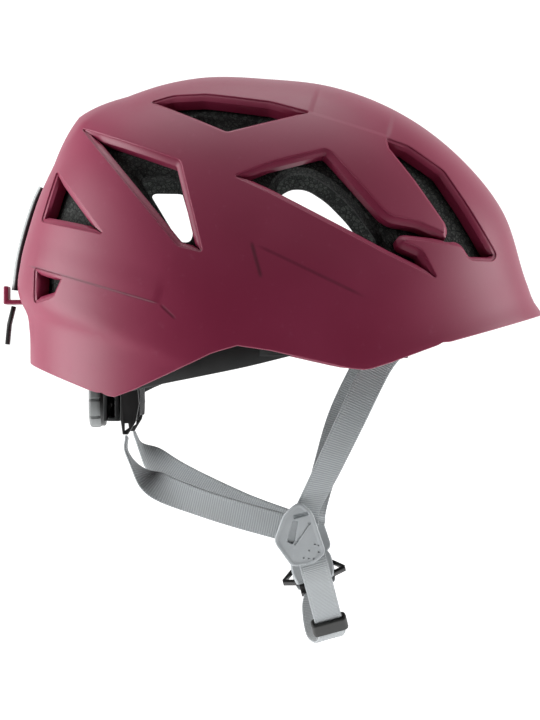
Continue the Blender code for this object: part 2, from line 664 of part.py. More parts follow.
def make_straps(webbing, plastic, dark):
    """The front and rear strap of each side, the anchor of the front one, and the divider they meet in."""
    for label, side in (("right", -1), ("left", 1)):
        divider, shift = strap_points(side)
        anchor_y = side * (float(half_width(0.0545, 0.002)) - SHELL_WALL - 0.0035)
        faces = sorted((anchor_y, anchor_y - side * ANCHOR_THICKNESS))
        block(f"strap_anchor_{label}", (0.0450, faces[0], -0.0045), (0.0630, faces[1], 0.0035), dark)
        strap_y = anchor_y - side * (ANCHOR_THICKNESS + GAP + WEBBING_THICKNESS / 2)
        front = [
            Vector((0.0545, strap_y, 0.0015)),
            Vector((0.0465, strap_y - side * 0.0015, -0.0100)),
            Vector((0.0330, side * (HALF_WIDTH - 0.0220), -0.0380)),
            Vector((0.0210, divider.y + side * 0.0100, -0.0640)) + shift * 0.5,
            divider + Vector((0.0048, side * -STRAP_BEHIND, 0.0120)),
        ]
        middle = curve_through(front, 15)
        start, end = Vector((0.90, 0, -0.43)), Vector((0.86, side * -0.35, 0.36))
        across = [start.lerp(end, share) for share in np.linspace(0, 1, 15)]
        ribbon(f"front_strap_{label}", middle, across, WEBBING_WIDTH, WEBBING_THICKNESS, webbing)

        rear = REAR_ROUTE[label]
        rear = [Vector((x, side * y, z)) for x, y, z in rear]
        rear.append(divider + Vector((-0.0090, side * -STRAP_BEHIND, 0.0035)))
        middle = curve_through(rear, 25)
        start, end = Vector((0, 1, 0)), Vector((0.20, -0.25, 0.95))
        begins, ends = REAR_TURN[label]
        across = []
        for place in np.linspace(0, 1, 25):
            share = min(max((place - begins) / (ends - begins), 0), 1)
            across.append(start.lerp(end, share**2 * (3 - 2 * share)))
        ribbon(f"rear_strap_{label}", middle, across, WEBBING_WIDTH, WEBBING_THICKNESS, webbing)

        frame = facing(divider + Vector((0, side * 0.0032, 0)), (0.10, side * -0.28, -1), (1, 0, 0))
        flipped = [(u, -v) for u, v in DIVIDER_OUTLINE]
        piece = plate(f"strap_divider_{label}", flipped, frame, DIVIDER_THICKNESS, plastic)
        for slot in DIVIDER_SLOTS:
            combine(piece, plate("slot", [(u, -v) for u, v in slot], frame, 0.02))


def rectangle(across, up):
    return [(-across, -up), (across, -up), (across, up), (-across, up)]


def make_chin(webbing, plastic, rubber):
    """The chin strap with its keeper, and the buckle's socket; returns where the buckle sits."""
    right, left = strap_points(-1)[0], strap_points(1)[0]
    keeper = Vector((0.0240, -0.0222, -0.1488))
    top = right + Vector((0.0090, 0.0045, -0.0195))
    line = (keeper - top).normalized()
    female_top = left + Vector((0.0015, -0.0075, -0.0130))
    slide = Vector((0.17, -0.66, -0.73)).normalized()
    buckle = female_top + slide * (BUCKLE_LENGTH / 2 + 0.004)

    end = buckle + slide * 0.0150
    route = [
        top, top.lerp(keeper, 0.5), keeper, keeper + line * 0.0055, keeper + line * 0.0095,
        Vector((0.0245, -0.0020, -0.1586)), Vector((0.0220, 0.0150, -0.1570)), end + slide * 0.010, end,
    ]
    middle = curve_through(route, 41)
    across = Vector((1, 0, 0.28))
    ribbon("chin_strap", middle, [across] * 41, WEBBING_WIDTH, WEBBING_THICKNESS, webbing)

    room = WEBBING_WIDTH / 2 + FIT, WEBBING_THICKNESS / 2 + FIT
    inner, outer = rectangle(*room), rectangle(room[0] + KEEPER_WALL, room[1] + KEEPER_WALL)
    loop_frame = facing(keeper, line, across) @ Matrix.Rotation(math.pi / 2, 4, "X")
    piece = plate("keeper", outer, loop_frame, KEEPER_HEIGHT, rubber)
    combine(piece, plate("hole", inner, loop_frame, KEEPER_HEIGHT * 2))
    pivot(piece, keeper)

    ends = [left + Vector((0.0010, -0.0055, -0.0090)), female_top + slide * 0.0020]
    ribbon("buckle_strap", ends, [(1, 0, 0.1)] * 2, WEBBING_WIDTH, WEBBING_THICKNESS, webbing)
    body = facing(buckle - slide * 0.0010, slide, (1, 0, 0.25))
    shape = rectangle(BUCKLE_WIDTH / 2, BUCKLE_LENGTH / 2)
    female = plate("buckle_socket", shape, body, BUCKLE_DEPTH, plastic)
    hollow = [
        (-0.0095, -0.0062), (-0.0130, -0.0050), (-0.0130, 0.02), (0.0130, 0.02), (0.0130, -0.0050),
        (0.0095, -0.0062),
    ]
    combine(female, plate("hollow", hollow, body, BUCKLE_DEPTH - 2 * BUCKLE_WALL))
    return buckle, body


def make_buckle_plug(body, black, buckle):
    """The plug: a bar for the webbing with a springy prong on each side."""
    bar = [(-0.0088, 0.0105), (0.0088, 0.0105), (0.0088, 0.0145), (-0.0088, 0.0145)]
    plug = plate("buckle_plug", bar, body, PLUG_THICKNESS, black)
    for side in (-1, 1):
        prong = [
            (0.0062, 0.0150), (0.0094, 0.0150), (0.0094, 0.0070), (0.0182, 0.0045), (0.0182, 0.0028),
            (0.0094, -0.0056), (0.0062, -0.0056),
        ]
        window = [(0.0110, 0.0046), (0.0166, 0.0030), (0.0110, -0.0024)]
        outline = [(side * u, v) for u, v in prong]
        combine(plug, plate("prong", outline, body, PLUG_THICKNESS - 0.0001), "UNION")
        combine(plug, plate("window", [(side * u, v) for u, v in window], body, 0.02))
    return pivot(plug, buckle)


# ------------------------------------------------------------------ rear headlamp loop
def make_loop(cord_material, tab_material):
    rear = -float(cast(np.array([0, 0, HOOK_HEIGHT]), np.array([-1.0, 0, 0]))[0])
    top = Vector(LOOP_TOP)
    wall = Vector(cast(np.array([-0.05, 0, top.z]), np.array([-1.0, 0, 0])))
    start = wall + Vector((-GAP - LOOP_DIAMETER / 2, 0, 0))
    end = Vector((-rear - 0.0035, 0, HOOK_HEIGHT + 0.0005 + LOOP_DIAMETER / 2))
    route = [
        start,
        start + Vector((-0.0050, 0, -0.0120)),
        start.lerp(end, 0.50) + Vector((-0.0035, 0, 0)),
        end + Vector((0.0003, 0, 0.012)),
        end,
    ]
    curve = bpy.data.curves.new("headlamp_loop", "CURVE")
    curve.dimensions = "3D"
    curve.bevel_depth = LOOP_DIAMETER / 2
    curve.bevel_resolution = 2
    curve.use_fill_caps = True
    spline = curve.splines.new("POLY")
    spots = curve_through(route, 20)
    spline.points.add(len(spots) - 1)
    for point, spot in zip(spline.points, spots):
        point.co = (*(Vector(spot) - start), 1)
    cord = bpy.data.objects.new("headlamp_loop", curve)
    bpy.context.scene.collection.objects.link(cord)
    curve.materials.append(cord_material)
    cord.location = start
    hang = [(-0.0035, -0.0060), (-0.0060, -0.0160), (-0.0070, -0.0270)]
    tab = [(-rear + out, 0, HOOK_HEIGHT + down) for out, down in hang]
    piece = ribbon("pull_tab", tab, [(0, 1, 0)] * 3, 0.0070, 0.0022, tab_material)
    pivot(piece, start)


def main():
    for item in list(bpy.data.objects):
        bpy.data.objects.remove(item)
    shell_red = finish("shell", (0.24, 0.035, 0.085), 0.48)
    foam = finish("foam", (0.03, 0.034, 0.033), 0.9)
    dark = finish("dark_plastic", (0.05, 0.055, 0.053), 0.55)
    black = finish("black_plastic", (0.012, 0.013, 0.013), 0.45)
    grey = finish("dial_grey", (0.22, 0.23, 0.23), 0.55)
    pale = finish("divider_grey", (0.38, 0.40, 0.41), 0.45)
    padding = finish("pad", (0.02, 0.02, 0.022), 0.95)
    webbing = finish("webbing", (0.26, 0.28, 0.29), 0.85)
    rubber = finish("keeper_rubber", (0.012, 0.013, 0.012), 0.6)
    cord = finish("elastic", (0.35, 0.37, 0.37), 0.8)

    make_shell(shell_red)
    make_liner(foam)
    make_headband(dark, padding, black)
    make_pads(padding)
    make_adjuster(dark, black, grey, padding)
    for label, side in (("right", -1), ("left", 1)):
        make_arm(label, side, dark)
    make_straps(webbing, pale, dark)
    buckle, body = make_chin(webbing, pale, rubber)
    make_buckle_plug(body, black, buckle)
    make_loop(cord, black)


main()
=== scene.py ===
"""A climbing helmet of raspberry plastic with its straps hanging, in a plain pale studio."""

import json
import math

import bmesh
import bpy
import numpy as np
from mathutils import Matrix, Vector

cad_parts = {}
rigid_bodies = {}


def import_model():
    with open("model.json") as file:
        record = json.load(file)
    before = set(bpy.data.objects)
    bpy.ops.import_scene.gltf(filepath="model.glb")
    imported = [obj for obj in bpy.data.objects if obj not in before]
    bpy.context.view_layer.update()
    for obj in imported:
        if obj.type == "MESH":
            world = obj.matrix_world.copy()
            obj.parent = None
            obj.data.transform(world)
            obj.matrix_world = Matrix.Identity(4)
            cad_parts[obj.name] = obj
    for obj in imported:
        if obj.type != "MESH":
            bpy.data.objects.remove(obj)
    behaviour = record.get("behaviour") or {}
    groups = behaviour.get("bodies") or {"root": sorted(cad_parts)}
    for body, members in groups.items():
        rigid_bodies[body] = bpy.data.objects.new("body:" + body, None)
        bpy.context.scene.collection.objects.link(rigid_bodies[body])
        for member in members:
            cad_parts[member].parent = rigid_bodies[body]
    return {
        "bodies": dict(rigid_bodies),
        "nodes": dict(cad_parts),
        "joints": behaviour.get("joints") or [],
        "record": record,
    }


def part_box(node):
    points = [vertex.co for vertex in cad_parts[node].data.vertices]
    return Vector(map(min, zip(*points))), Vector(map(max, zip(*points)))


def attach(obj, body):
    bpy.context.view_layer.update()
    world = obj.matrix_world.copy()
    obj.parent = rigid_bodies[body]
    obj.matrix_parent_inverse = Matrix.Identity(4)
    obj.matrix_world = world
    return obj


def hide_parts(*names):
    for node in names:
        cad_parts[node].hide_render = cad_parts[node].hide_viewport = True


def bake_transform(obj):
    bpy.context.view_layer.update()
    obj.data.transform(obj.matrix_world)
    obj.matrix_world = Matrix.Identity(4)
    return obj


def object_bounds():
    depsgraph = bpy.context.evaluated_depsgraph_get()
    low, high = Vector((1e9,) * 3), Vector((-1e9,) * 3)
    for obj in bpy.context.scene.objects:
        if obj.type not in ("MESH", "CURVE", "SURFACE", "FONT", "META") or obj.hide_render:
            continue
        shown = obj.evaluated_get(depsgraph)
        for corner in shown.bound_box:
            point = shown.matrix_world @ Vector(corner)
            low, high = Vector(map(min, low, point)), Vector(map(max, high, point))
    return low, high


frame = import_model()
nodes = frame["nodes"]
cad_box = [list(corner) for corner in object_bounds()]

# ---------------------------------------------------------------- camera and studio
# A camera level with the ear arches looks straight at the right side of the helmet. Large soft
# lights stand to the left, to the right and above, and a dark screen keeps light off the near side.
camera_distance = 1.500
width_seen = 0.396
view = bpy.data.cameras.new("camera")
view.sensor_width = 36.0
view.lens = view.sensor_width * camera_distance / width_seen
camera = bpy.data.objects.new("camera", view)
camera.location = (-0.00825, -camera_distance, -0.0055)
camera.rotation_euler = (math.pi / 2, 0, 0)
bpy.context.scene.collection.objects.link(camera)
bpy.context.scene.camera = camera
bpy.context.scene.view_settings.view_transform = "Standard"


class Wire:
    """One output in a material's node graph. Arithmetic on it adds the nodes that work it out."""

    def __init__(self, graph, socket):
        self.graph = graph
        self.socket = socket

    def maths(self, operation, first, second=0.0):
        return self.graph.node("ShaderNodeMath", {"operation": operation}, {0: first, 1: second})

    def __add__(self, other):
        return self.maths("ADD", self, other)

    def __sub__(self, other):
        return self.maths("SUBTRACT", self, other)

    def __mul__(self, other):
        return self.maths("MULTIPLY", self, other)

    def __rsub__(self, other):
        return self.maths("SUBTRACT", other, self)

    def wave(self):
        return self.maths("SINE", self)

    def size(self):
        return self.maths("ABSOLUTE", self)

    def over(self, low, high):
        """0 below low and 1 above high, with a soft step between them."""
        limits = {"Value": self, "From Min": low, "From Max": high}
        return self.graph.node("ShaderNodeMapRange", {"interpolation_type": "SMOOTHSTEP"}, limits)

    __radd__ = __add__
    __rmul__ = __mul__


class Finish:
    """A material: one Principled shader, and the nodes that vary it over the surface."""

    def __init__(self, name, **uniform):
        self.material = bpy.data.materials.new(name)
        self.material.use_nodes = True
        self.tree = self.material.node_tree
        self.shader = self.tree.nodes["Principled BSDF"]
        for socket, value in uniform.items():
            self.shader.inputs[socket.replace("_", " ")].default_value = value

    def node(self, kind, settings=None, inputs=None, output=0):
        made = self.tree.nodes.new(kind)
        for name, value in (settings or {}).items():
            setattr(made, name, value)
        for name, value in (inputs or {}).items():
            self.feed(made.inputs[name], value)
        return Wire(self, made.outputs[output])

    def feed(self, socket, value):
        if isinstance(value, Wire):
            self.tree.links.new(value.socket, socket)
        else:
            socket.default_value = value

    def place(self):
        """Where a point of the surface is on the object, in metres."""
        return self.node("ShaderNodeTexCoord", output="Object")

    def noise(self, scale, detail=2.0):
        inputs = {"Vector": self.place(), "Scale": scale, "Detail": detail}
        return self.node("ShaderNodeTexNoise", {}, inputs)

    def cells(self, scale, output="Distance", feature="F1"):
        inputs = {"Vector": self.place(), "Scale": scale}
        return self.node("ShaderNodeTexVoronoi", {"feature": feature}, inputs, output)

    def parts(self, vector):
        """The three numbers of a vector or a colour."""
        first = self.node("ShaderNodeSeparateXYZ", {}, {0: vector})
        return [Wire(self, socket) for socket in first.socket.node.outputs]

    def blend(self, share, first, second):
        """A colour between two colours. A Mix node's colour sockets come after those of its other types."""
        inputs = {0: share, 6: first, 7: second}
        return self.node("ShaderNodeMix", {"data_type": "RGBA"}, inputs, 2)

    def relief(self, height, depth, under=None):
        """A normal raised by a height of 0 to 1 times a depth in metres."""
        inputs = {"Height": height, "Distance": depth, "Strength": 1.0}
        if under is not None:
            inputs["Normal"] = under
        return self.node("ShaderNodeBump", {}, inputs)

    def rounded(self, radius):
        """A normal that rounds off the corners by a radius."""
        return self.node("ShaderNodeBevel", {"samples": 6}, {"Radius": radius})

    def use(self, **fields):
        for socket, field in fields.items():
            self.feed(self.shader.inputs[socket.replace("_", " ")], field)
        return self.material


floor_mesh = bpy.data.meshes.new("floor")
reach = 9.0
below = cad_box[0][2] - 0.35
floor_mesh.from_pydata(
    [(-reach, -reach, below), (reach, -reach, below), (reach, reach, below), (-reach, reach, below)],
    [],
    [(0, 1, 2, 3)],
)
floor = bpy.data.objects.new("floor", floor_mesh)
floor_finish = Finish("studio_floor", Roughness=0.9, Specular_IOR_Level=0.1)
floor_tone = floor_finish.blend(floor_finish.noise(3.0), (0.86, 0.86, 0.87, 1), (0.90, 0.90, 0.90, 1))
floor_mesh.materials.append(floor_finish.use(Base_Color=floor_tone, Emission_Color=(1, 1, 1, 1)))
floor_finish.shader.inputs["Emission Strength"].default_value = 0.75
bpy.context.scene.collection.objects.link(floor)

wall_mesh = bpy.data.meshes.new("paper_wall")
wall_mesh.from_pydata(
    [(-reach, reach, below), (reach, reach, below), (reach, reach, reach), (-reach, reach, reach)],
    [],
    [(0, 1, 2, 3)],
)
wall = bpy.data.objects.new("paper_wall", wall_mesh)
paper = Finish("lit_paper", Roughness=0.95, Specular_IOR_Level=0.0)
paper_tone = paper.blend(paper.noise(2.0), (0.97, 0.97, 0.97, 1), (1, 1, 1, 1))
wall_mesh.materials.append(paper.use(Base_Color=(0.2, 0.2, 0.2, 1), Emission_Color=paper_tone))
paper.shader.inputs["Emission Strength"].default_value = 1.05
bpy.context.scene.collection.objects.link(wall)

screen_mesh = bpy.data.meshes.new("dark_screen")
screen_radius, screen_panels = 0.85, 12
screen_low, screen_high = -0.45, 0.42
corners = []
for step in range(screen_panels + 1):
    turn = math.radians(-90 - 54 + 9 * step)
    for height in (screen_low, screen_high):
        corners.append((screen_radius * math.cos(turn), screen_radius * math.sin(turn), height))
panels = [(2 * i, 2 * i + 2, 2 * i + 3, 2 * i + 1) for i in range(screen_panels)]
screen_mesh.from_pydata(corners, [], panels)
screen = bpy.data.objects.new("dark_screen", screen_mesh)
screen_finish = Finish("black_cloth", Roughness=1.0, Specular_IOR_Level=0.0)
screen_tone = screen_finish.blend(
    screen_finish.noise(40.0), (0.008, 0.008, 0.008, 1), (0.014, 0.014, 0.014, 1)
)
screen_mesh.materials.append(screen_finish.use(Base_Color=screen_tone))
screen.visible_camera = False
bpy.context.scene.collection.objects.link(screen)

world = bpy.data.worlds.new("studio")
world.use_nodes = True
sky = world.node_tree.nodes["Background"]
sky.inputs["Color"].default_value = (1.0, 1.0, 1.0, 1)
sky.inputs["Strength"].default_value = 0.32
bpy.context.scene.world = world
helmet_middle = Vector((0, 0, 0.03))
for name, place, size, watts in (
    ("light_rear", (-1.10, -0.10, 0.15), 0.9, 15.0),
    ("light_front", (1.20, 0.05, 0.30), 0.9, 12.0),
    ("light_top", (-0.05, 0.15, 1.20), 1.0, 9.0),
):
    lamp = bpy.data.lights.new(name, "AREA")
    lamp.shape = "SQUARE"
    lamp.size = size
    lamp.energy = watts
    stand = bpy.data.objects.new(name, lamp)
    stand.location = place
    stand.rotation_euler = (helmet_middle - Vector(place)).to_track_quat("-Z", "Y").to_euler()
    stand.visible_camera = False
    bpy.context.scene.collection.objects.link(stand)

# ---------------------------------------------------------------- shell
# One moulding about 2 mm thick. Its lower rim is rolled, every vent has a rounded lip and a flange
# that slopes inwards, and a lug at the rear takes the elastic of a headlamp.
side_axis = (-0.018, -0.020)
side_outline = [
    (0.1340, -0.0300), (0.1400, -0.0100), (0.1412, 0.0120), (0.1403, 0.0201), (0.1367, 0.0252),
    (0.1320, 0.0369), (0.1183, 0.0770), (0.0963, 0.1045), (0.0633, 0.1293), (0.0248, 0.1441),
    (-0.0083, 0.1481), (-0.0479, 0.1486), (-0.0750, 0.1425), (-0.1085, 0.1255), (-0.1310, 0.0913),
    (-0.1406, 0.0639), (-0.1445, 0.0480), (-0.1449, 0.0278), (-0.1411, 0.0200), (-0.1397, 0.0110),
    (-0.1392, -0.0066), (-0.1380, -0.0350),
]
rim_line = [
    (-0.170, -0.001), (-0.138, -0.007), (-0.102, -0.0205), (-0.090, -0.0240), (-0.079, -0.0200),
    (-0.054, -0.0086), (-0.038, -0.0010), (-0.025, 0.0027), (-0.008, 0.0002), (0.017, -0.0055),
    (0.034, -0.0092), (0.042, -0.0098), (0.053, -0.0065), (0.080, 0.0033), (0.107, 0.0107),
    (0.170, 0.0285),
]
vents = {
    "crown": [(-0.072, 0.132), (-0.060, 0.1355), (-0.042, 0.136), (-0.008, 0.1315), (0.013, 0.1255),
              (-0.031, 0.1135)],
    "rear_upper": [(-0.109, 0.1185), (-0.055, 0.0985), (-0.043, 0.050), (-0.056, 0.0535)],
    "rear_side": [(-0.1225, 0.096), (-0.095, 0.060), (-0.1305, 0.0685)],
    "rear_lower": [(-0.1335, 0.0435), (-0.117, 0.038), (-0.122, 0.0275), (-0.1335, 0.0245)],
    "side": [(-0.027, 0.090), (-0.008, 0.0975), (0.0205, 0.105), (0.024, 0.1035), (0.051, 0.0725),
             (0.055, 0.0695), (0.069, 0.067), (0.084, 0.0605), (0.088, 0.055), (0.062, 0.0575),
             (0.060, 0.0565), (0.0705, 0.052), (0.0785, 0.037), (0.053, 0.049), (-0.008, 0.081)],
    "front": [(0.053, 0.112), (0.065, 0.108), (0.084, 0.095), (0.0965, 0.076), (0.112, 0.0505),
              (0.110, 0.047), (0.0965, 0.047), (0.0915, 0.0545), (0.082, 0.0555), (0.0835, 0.065),
              (0.0675, 0.0885), (0.0535, 0.107)],
}
widest = 0.108
side_power, width_power = 2.2, 2.4  # how squarely the dome turns in, seen from the side and from the front
shell_wall = 0.0019
flange_width, flange_depth = 0.0018, 0.0080
vent_corner = 0.0022
plug_depth = 0.03


def outline_radius(angle):
    """Distance from the axis across the head to the side outline."""
    spots = np.array(side_outline) - side_axis
    angles = np.arctan2(spots[:, 1], spots[:, 0]) % (2 * math.pi)
    angles[angles > 1.5 * math.pi] -= 2 * math.pi
    order = np.argsort(angles)
    angles, radii = angles[order], np.hypot(*spots[order].T)
    slopes = np.gradient(radii, angles)
    angle = np.clip(angle, angles[0], angles[-1])
    step = np.clip(np.searchsorted(angles, angle) - 1, 0, len(angles) - 2)
    width = angles[step + 1] - angles[step]
    t = (angle - angles[step]) / width
    return (
        radii[step] * (1 + 2 * t) * (1 - t) ** 2
        + slopes[step] * width * t * (1 - t) ** 2
        + radii[step + 1] * t**2 * (3 - 2 * t)
        + slopes[step + 1] * width * t**2 * (t - 1)
    )


def crest_rise(angle, fill):
    """The raised fold across the rear of the crown."""
    near_middle = np.clip((fill - 0.86) / 0.12, 0, 1)
    return 0.0040 * np.clip(1 - np.abs(angle - 2.14) / 0.16, 0, 1) * near_middle**2


def fill_of(x, z):
    """How far out towards the side outline a point is: 0 on the axis and 1 on the outline."""
    across, up = x - side_axis[0], z - side_axis[1]
    angle = np.arctan2(up, across)
    angle = np.where(angle < -math.pi / 2, angle + 2 * math.pi, angle)
    distance, radius = np.hypot(across, up), outline_radius(angle)
    return distance / (radius + crest_rise(angle, distance / radius))


def half_width(x, z):
    """How far the outer surface is from the middle plane."""
    return widest * np.clip(1 - fill_of(x, z) ** side_power, 0, 1) ** (1 / width_power)


def outside(points):
    """Below zero inside the shell's outer surface and above zero outside it."""
    x, y, z = np.moveaxis(points, -1, 0)
    return fill_of(x, z) ** side_power + np.abs(y / widest) ** width_power - 1


def normals_at(points, step=1e-4):
    """The outer surface's normals at these points, and how steeply outside() grows there."""
    slopes = [outside(points + step * axis) - outside(points - step * axis) for axis in np.eye(3)]
    slopes = np.stack(slopes, axis=-1) / (2 * step)
    size = np.linalg.norm(slopes, axis=-1, keepdims=True)
    return slopes / size, size


def onto_surface(points):
    """The nearest points on the outer surface, by a few Newton steps."""
    for _ in range(4):
        normals, size = normals_at(points)
        points = points - normals * (outside(points)[..., None] / size)
    return points


def cast(centre, directions):
    """Where rays from a centre inside the shell leave its outer surface."""
    near = np.zeros(directions.shape[:-1])
    far = np.full(directions.shape[:-1], 0.3)
    for _ in range(26):
        middle = (near + far) / 2
        hit = outside(centre + middle[..., None] * directions) > 0
        near, far = np.where(hit, near, middle), np.where(hit, middle, far)
    return centre + near[..., None] * directions


def dome_points(steps, lift, finer=1):
    """A square grid of points over the whole dome, from the crown out to the rim, with no pole."""
    line = np.linspace(-1, 1, steps + 1)
    a, b = np.meshgrid(line, line, indexing="ij")
    reach = np.maximum(np.abs(a), np.abs(b))
    upright = np.abs(a) < np.abs(b)
    with np.errstate(divide="ignore", invalid="ignore"):
        turn = np.where(upright, math.pi / 2 - a / b * math.pi / 4, b / a * math.pi / 4)
    turn = np.where(reach == 0, 0, turn) + math.pi * np.where(upright, b < 0, a < 0)
    centre = np.array([-0.008, 0, 0.020])

    def ray(tilt):
        flat = np.sin(tilt)
        return np.stack([flat * np.cos(turn), flat * np.sin(turn), np.cos(tilt)], axis=-1)

    low, high = np.full(turn.shape, 0.3), np.full(turn.shape, 2.4)
    for _ in range(20):
        middle = (low + high) / 2
        spots = cast(centre, ray(middle))
        above = spots[..., 2] > np.interp(spots[..., 0], *np.array(rim_line).T) + lift
        low, high = np.where(above, middle, low), np.where(above, high, middle)
    found = cast(centre, ray(reach * low))
    places = np.arange((len(found) - 1) * finer + 1) / finer
    for _ in range(2):
        start = np.minimum(places.astype(int), len(found) - 2)
        share = (places - start)[:, None, None]
        found = found[start] * (1 - share) + found[start + 1] * share
        found = found.transpose(1, 0, 2)
    return onto_surface(found)


def build(name, vertices, faces):
    """A mesh object whose faces all point outwards."""
    mesh = bpy.data.meshes.new(name)
    mesh.from_pydata([tuple(map(float, vertex)) for vertex in vertices], [], faces)
    work = bmesh.new()
    work.from_mesh(mesh)
    bmesh.ops.recalc_face_normals(work, faces=work.faces)
    work.to_mesh(mesh)
    work.free()
    piece = bpy.data.objects.new(name, mesh)
    bpy.context.scene.collection.objects.link(piece)
    return piece


def unit(vectors):
    return vectors / np.linalg.norm(vectors, axis=-1, keepdims=True)


def slab(name, outer, inner, rings=0):
    """A closed wall between two grids of points, with a rounded edge of so many rings."""
    rows, columns = outer.shape[:2]
    number = np.arange(rows * columns).reshape(rows, columns)
    faces = []
    for sheet, flip in ((number, 1), (number + rows * columns, -1)):
        quads = np.stack([sheet[:-1, :-1], sheet[1:, :-1], sheet[1:, 1:], sheet[:-1, 1:]], axis=-1)
        faces += quads.reshape(-1, 4)[:, ::flip].tolist()
    edge = [*number[:, 0], *number[-1, 1:], *number[-2::-1, -1], *number[0, -2:0:-1]]
    next_in = [*number[:, 1], *number[-2, 1:], *number[-2::-1, -2], *number[1, -2:0:-1]]
    spots, under = outer.reshape(-1, 3), inner.reshape(-1, 3)
    vertices = [spots, under]
    loops = [edge]
    total = 2 * rows * columns
    away = unit(spots[edge] - spots[next_in])
    middle, half = (spots[edge] + under[edge]) / 2, (spots[edge] - under[edge]) / 2
    thick = np.linalg.norm(half, axis=1, keepdims=True)
    for ring in range(1, rings + 1):
        turn = math.pi * ring / (rings + 1)
        vertices.append(middle + half * math.cos(turn) + away * thick * math.sin(turn))
        loops.append(range(total, total + len(edge)))
        total += len(edge)
    loops.append([corner + rows * columns for corner in edge])
    for upper, lower in zip(loops, loops[1:]):
        for i in range(len(edge)):
            j = (i + 1) % len(edge)
            faces.append([int(upper[i]), int(lower[i]), int(lower[j]), int(upper[j])])
    return build(name, np.concatenate(vertices), faces)


def softened(corners, radius, steps=5):
    """A closed outline with its corners rounded."""
    found = []
    for i, corner in enumerate(corners):
        corner = np.array(corner)
        ends = []
        for other in (corners[i - 1], corners[(i + 1) % len(corners)]):
            side = np.array(other) - corner
            ends.append(corner + side * min(radius / np.linalg.norm(side), 0.45))
        for t in np.linspace(0, 1, steps):
            found.append(ends[0] * (1 - t) ** 2 + corner * 2 * t * (1 - t) + ends[1] * t**2)
    return np.array(found)


def drawn_out(corners, spacing=0.004):
    """More points along the long sides of an outline, so that it can lie on a curved surface."""
    found = []
    for start, end in zip(corners, np.roll(corners, -1, axis=0)):
        count = max(int(np.linalg.norm(end - start) / spacing), 1)
        found += [start + (end - start) * step / count for step in range(count)]
    return np.array(found)


def faces_of_rings(count, rings):
    """The faces between so many rings of so many points, and those that close the two ends."""
    faces = []
    for low in range(0, (rings - 1) * count, count):
        for i in range(count):
            j = (i + 1) % count
            faces.append((low + i, low + count + i, low + count + j, low + j))
    last = (rings - 1) * count
    return [*faces, tuple(range(count)), tuple(range(last + count - 1, last - 1, -1))]


def vent_tool(outline, side, rings, level=False):
    """A plug for a vent: rings of (how far outside the outline, how deep under the surface).

    A ring inside the outline never crosses itself: at each point it goes in no further than most
    of the way to the middle of the vent there. A level plug goes in straight across the helmet.
    """
    flat = drawn_out(outline)
    corners = np.stack([flat[:, 0], side * half_width(flat[:, 0], flat[:, 1]), flat[:, 1]], axis=-1)
    normal = unit(normals_at(corners)[0].mean(axis=0))
    loop = np.cross(corners, np.roll(corners, -1, axis=0)).sum(axis=0)
    turn = 1 if loop @ normal > 0 else -1
    before, after = corners - np.roll(corners, 1, axis=0), np.roll(corners, -1, axis=0) - corners
    sides = []
    for edge in (before, after):
        flat_edge = unit(edge - normal * (edge @ normal)[:, None])
        sides.append(np.cross(flat_edge, normal) * turn)
    miter = sides[0] + sides[1]
    outwards = unit(miter)
    miter /= np.maximum((miter * sides[0]).sum(axis=1), 0.45)[:, None]
    apart = corners[None] - corners[:, None]
    facing_in = np.maximum(-(apart * outwards[:, None]).sum(axis=-1), 1e-9)
    room = ((apart**2).sum(axis=-1) + 1e9 * np.eye(len(corners))) / (2 * facing_in)
    room = 0.85 * room.min(axis=1)
    if level:
        normal = np.array((0.0, side, 0.0))
    vertices = [onto_surface(corners + miter * max(rings[0][0], 0)) + normal * 0.012]
    for growth, depth in rings:
        if growth < 0:
            moved = corners - outwards * np.minimum(-growth, room)[:, None]
        else:
            moved = corners + miter * growth
        vertices.append(onto_surface(moved) - normal * depth)
    return build("tool", np.concatenate(vertices), faces_of_rings(len(corners), len(vertices)))


def combine(piece, tool, operation="DIFFERENCE"):
    """Cuts or joins with a tool, which is used up."""
    modifier = piece.modifiers.new(operation.title(), "BOOLEAN")
    modifier.operation = operation
    modifier.solver = "MANIFOLD"
    modifier.object = tool
    graph = bpy.context.evaluated_depsgraph_get()
    mesh = bpy.data.meshes.new_from_object(piece.evaluated_get(graph))
    piece.modifiers.clear()
    piece.data = mesh
    bpy.data.objects.remove(tool)
    return piece


def smooth(piece, angle=35):
    """Shades a piece smooth, but for edges sharper than this angle."""
    piece.data.shade_smooth()
    piece.data.set_sharp_from_angle(angle=math.radians(angle))
    piece.modifiers.new("Even shading", "WEIGHTED_NORMAL").keep_sharp = True
    return piece


grid = dome_points(50, 0.0, 3)
away = normals_at(grid)[0]
shell = slab("moulded_shell", grid, grid - away * shell_wall, 4)
for outline in vents.values():
    soft = softened(outline, vent_corner)
    for side in (-1, 1):
        core = slab("core", grid - away * shell_wall / 3, grid - away * flange_depth)
        frame_tool = vent_tool(soft, side, [(flange_width, plug_depth)])
        combine(shell, combine(core, frame_tool, "INTERSECT"), "UNION")
lip = 0.0008
lip_rings = [(lip, -0.0002)]
for turn in np.radians([0, 22, 45, 67, 90]):
    lip_rings.append((lip * (1 - math.sin(turn)), lip * (1 - math.cos(turn))))
for outline in vents.values():
    soft = softened(outline, vent_corner)
    for side in (-1, 1):
        slope = [
            (-0.0016, 0.0013), (-0.0031, 0.0029), (-0.0033, flange_depth), (-0.0033, plug_depth)
        ]
        combine(shell, vent_tool(soft, side, lip_rings + slope))

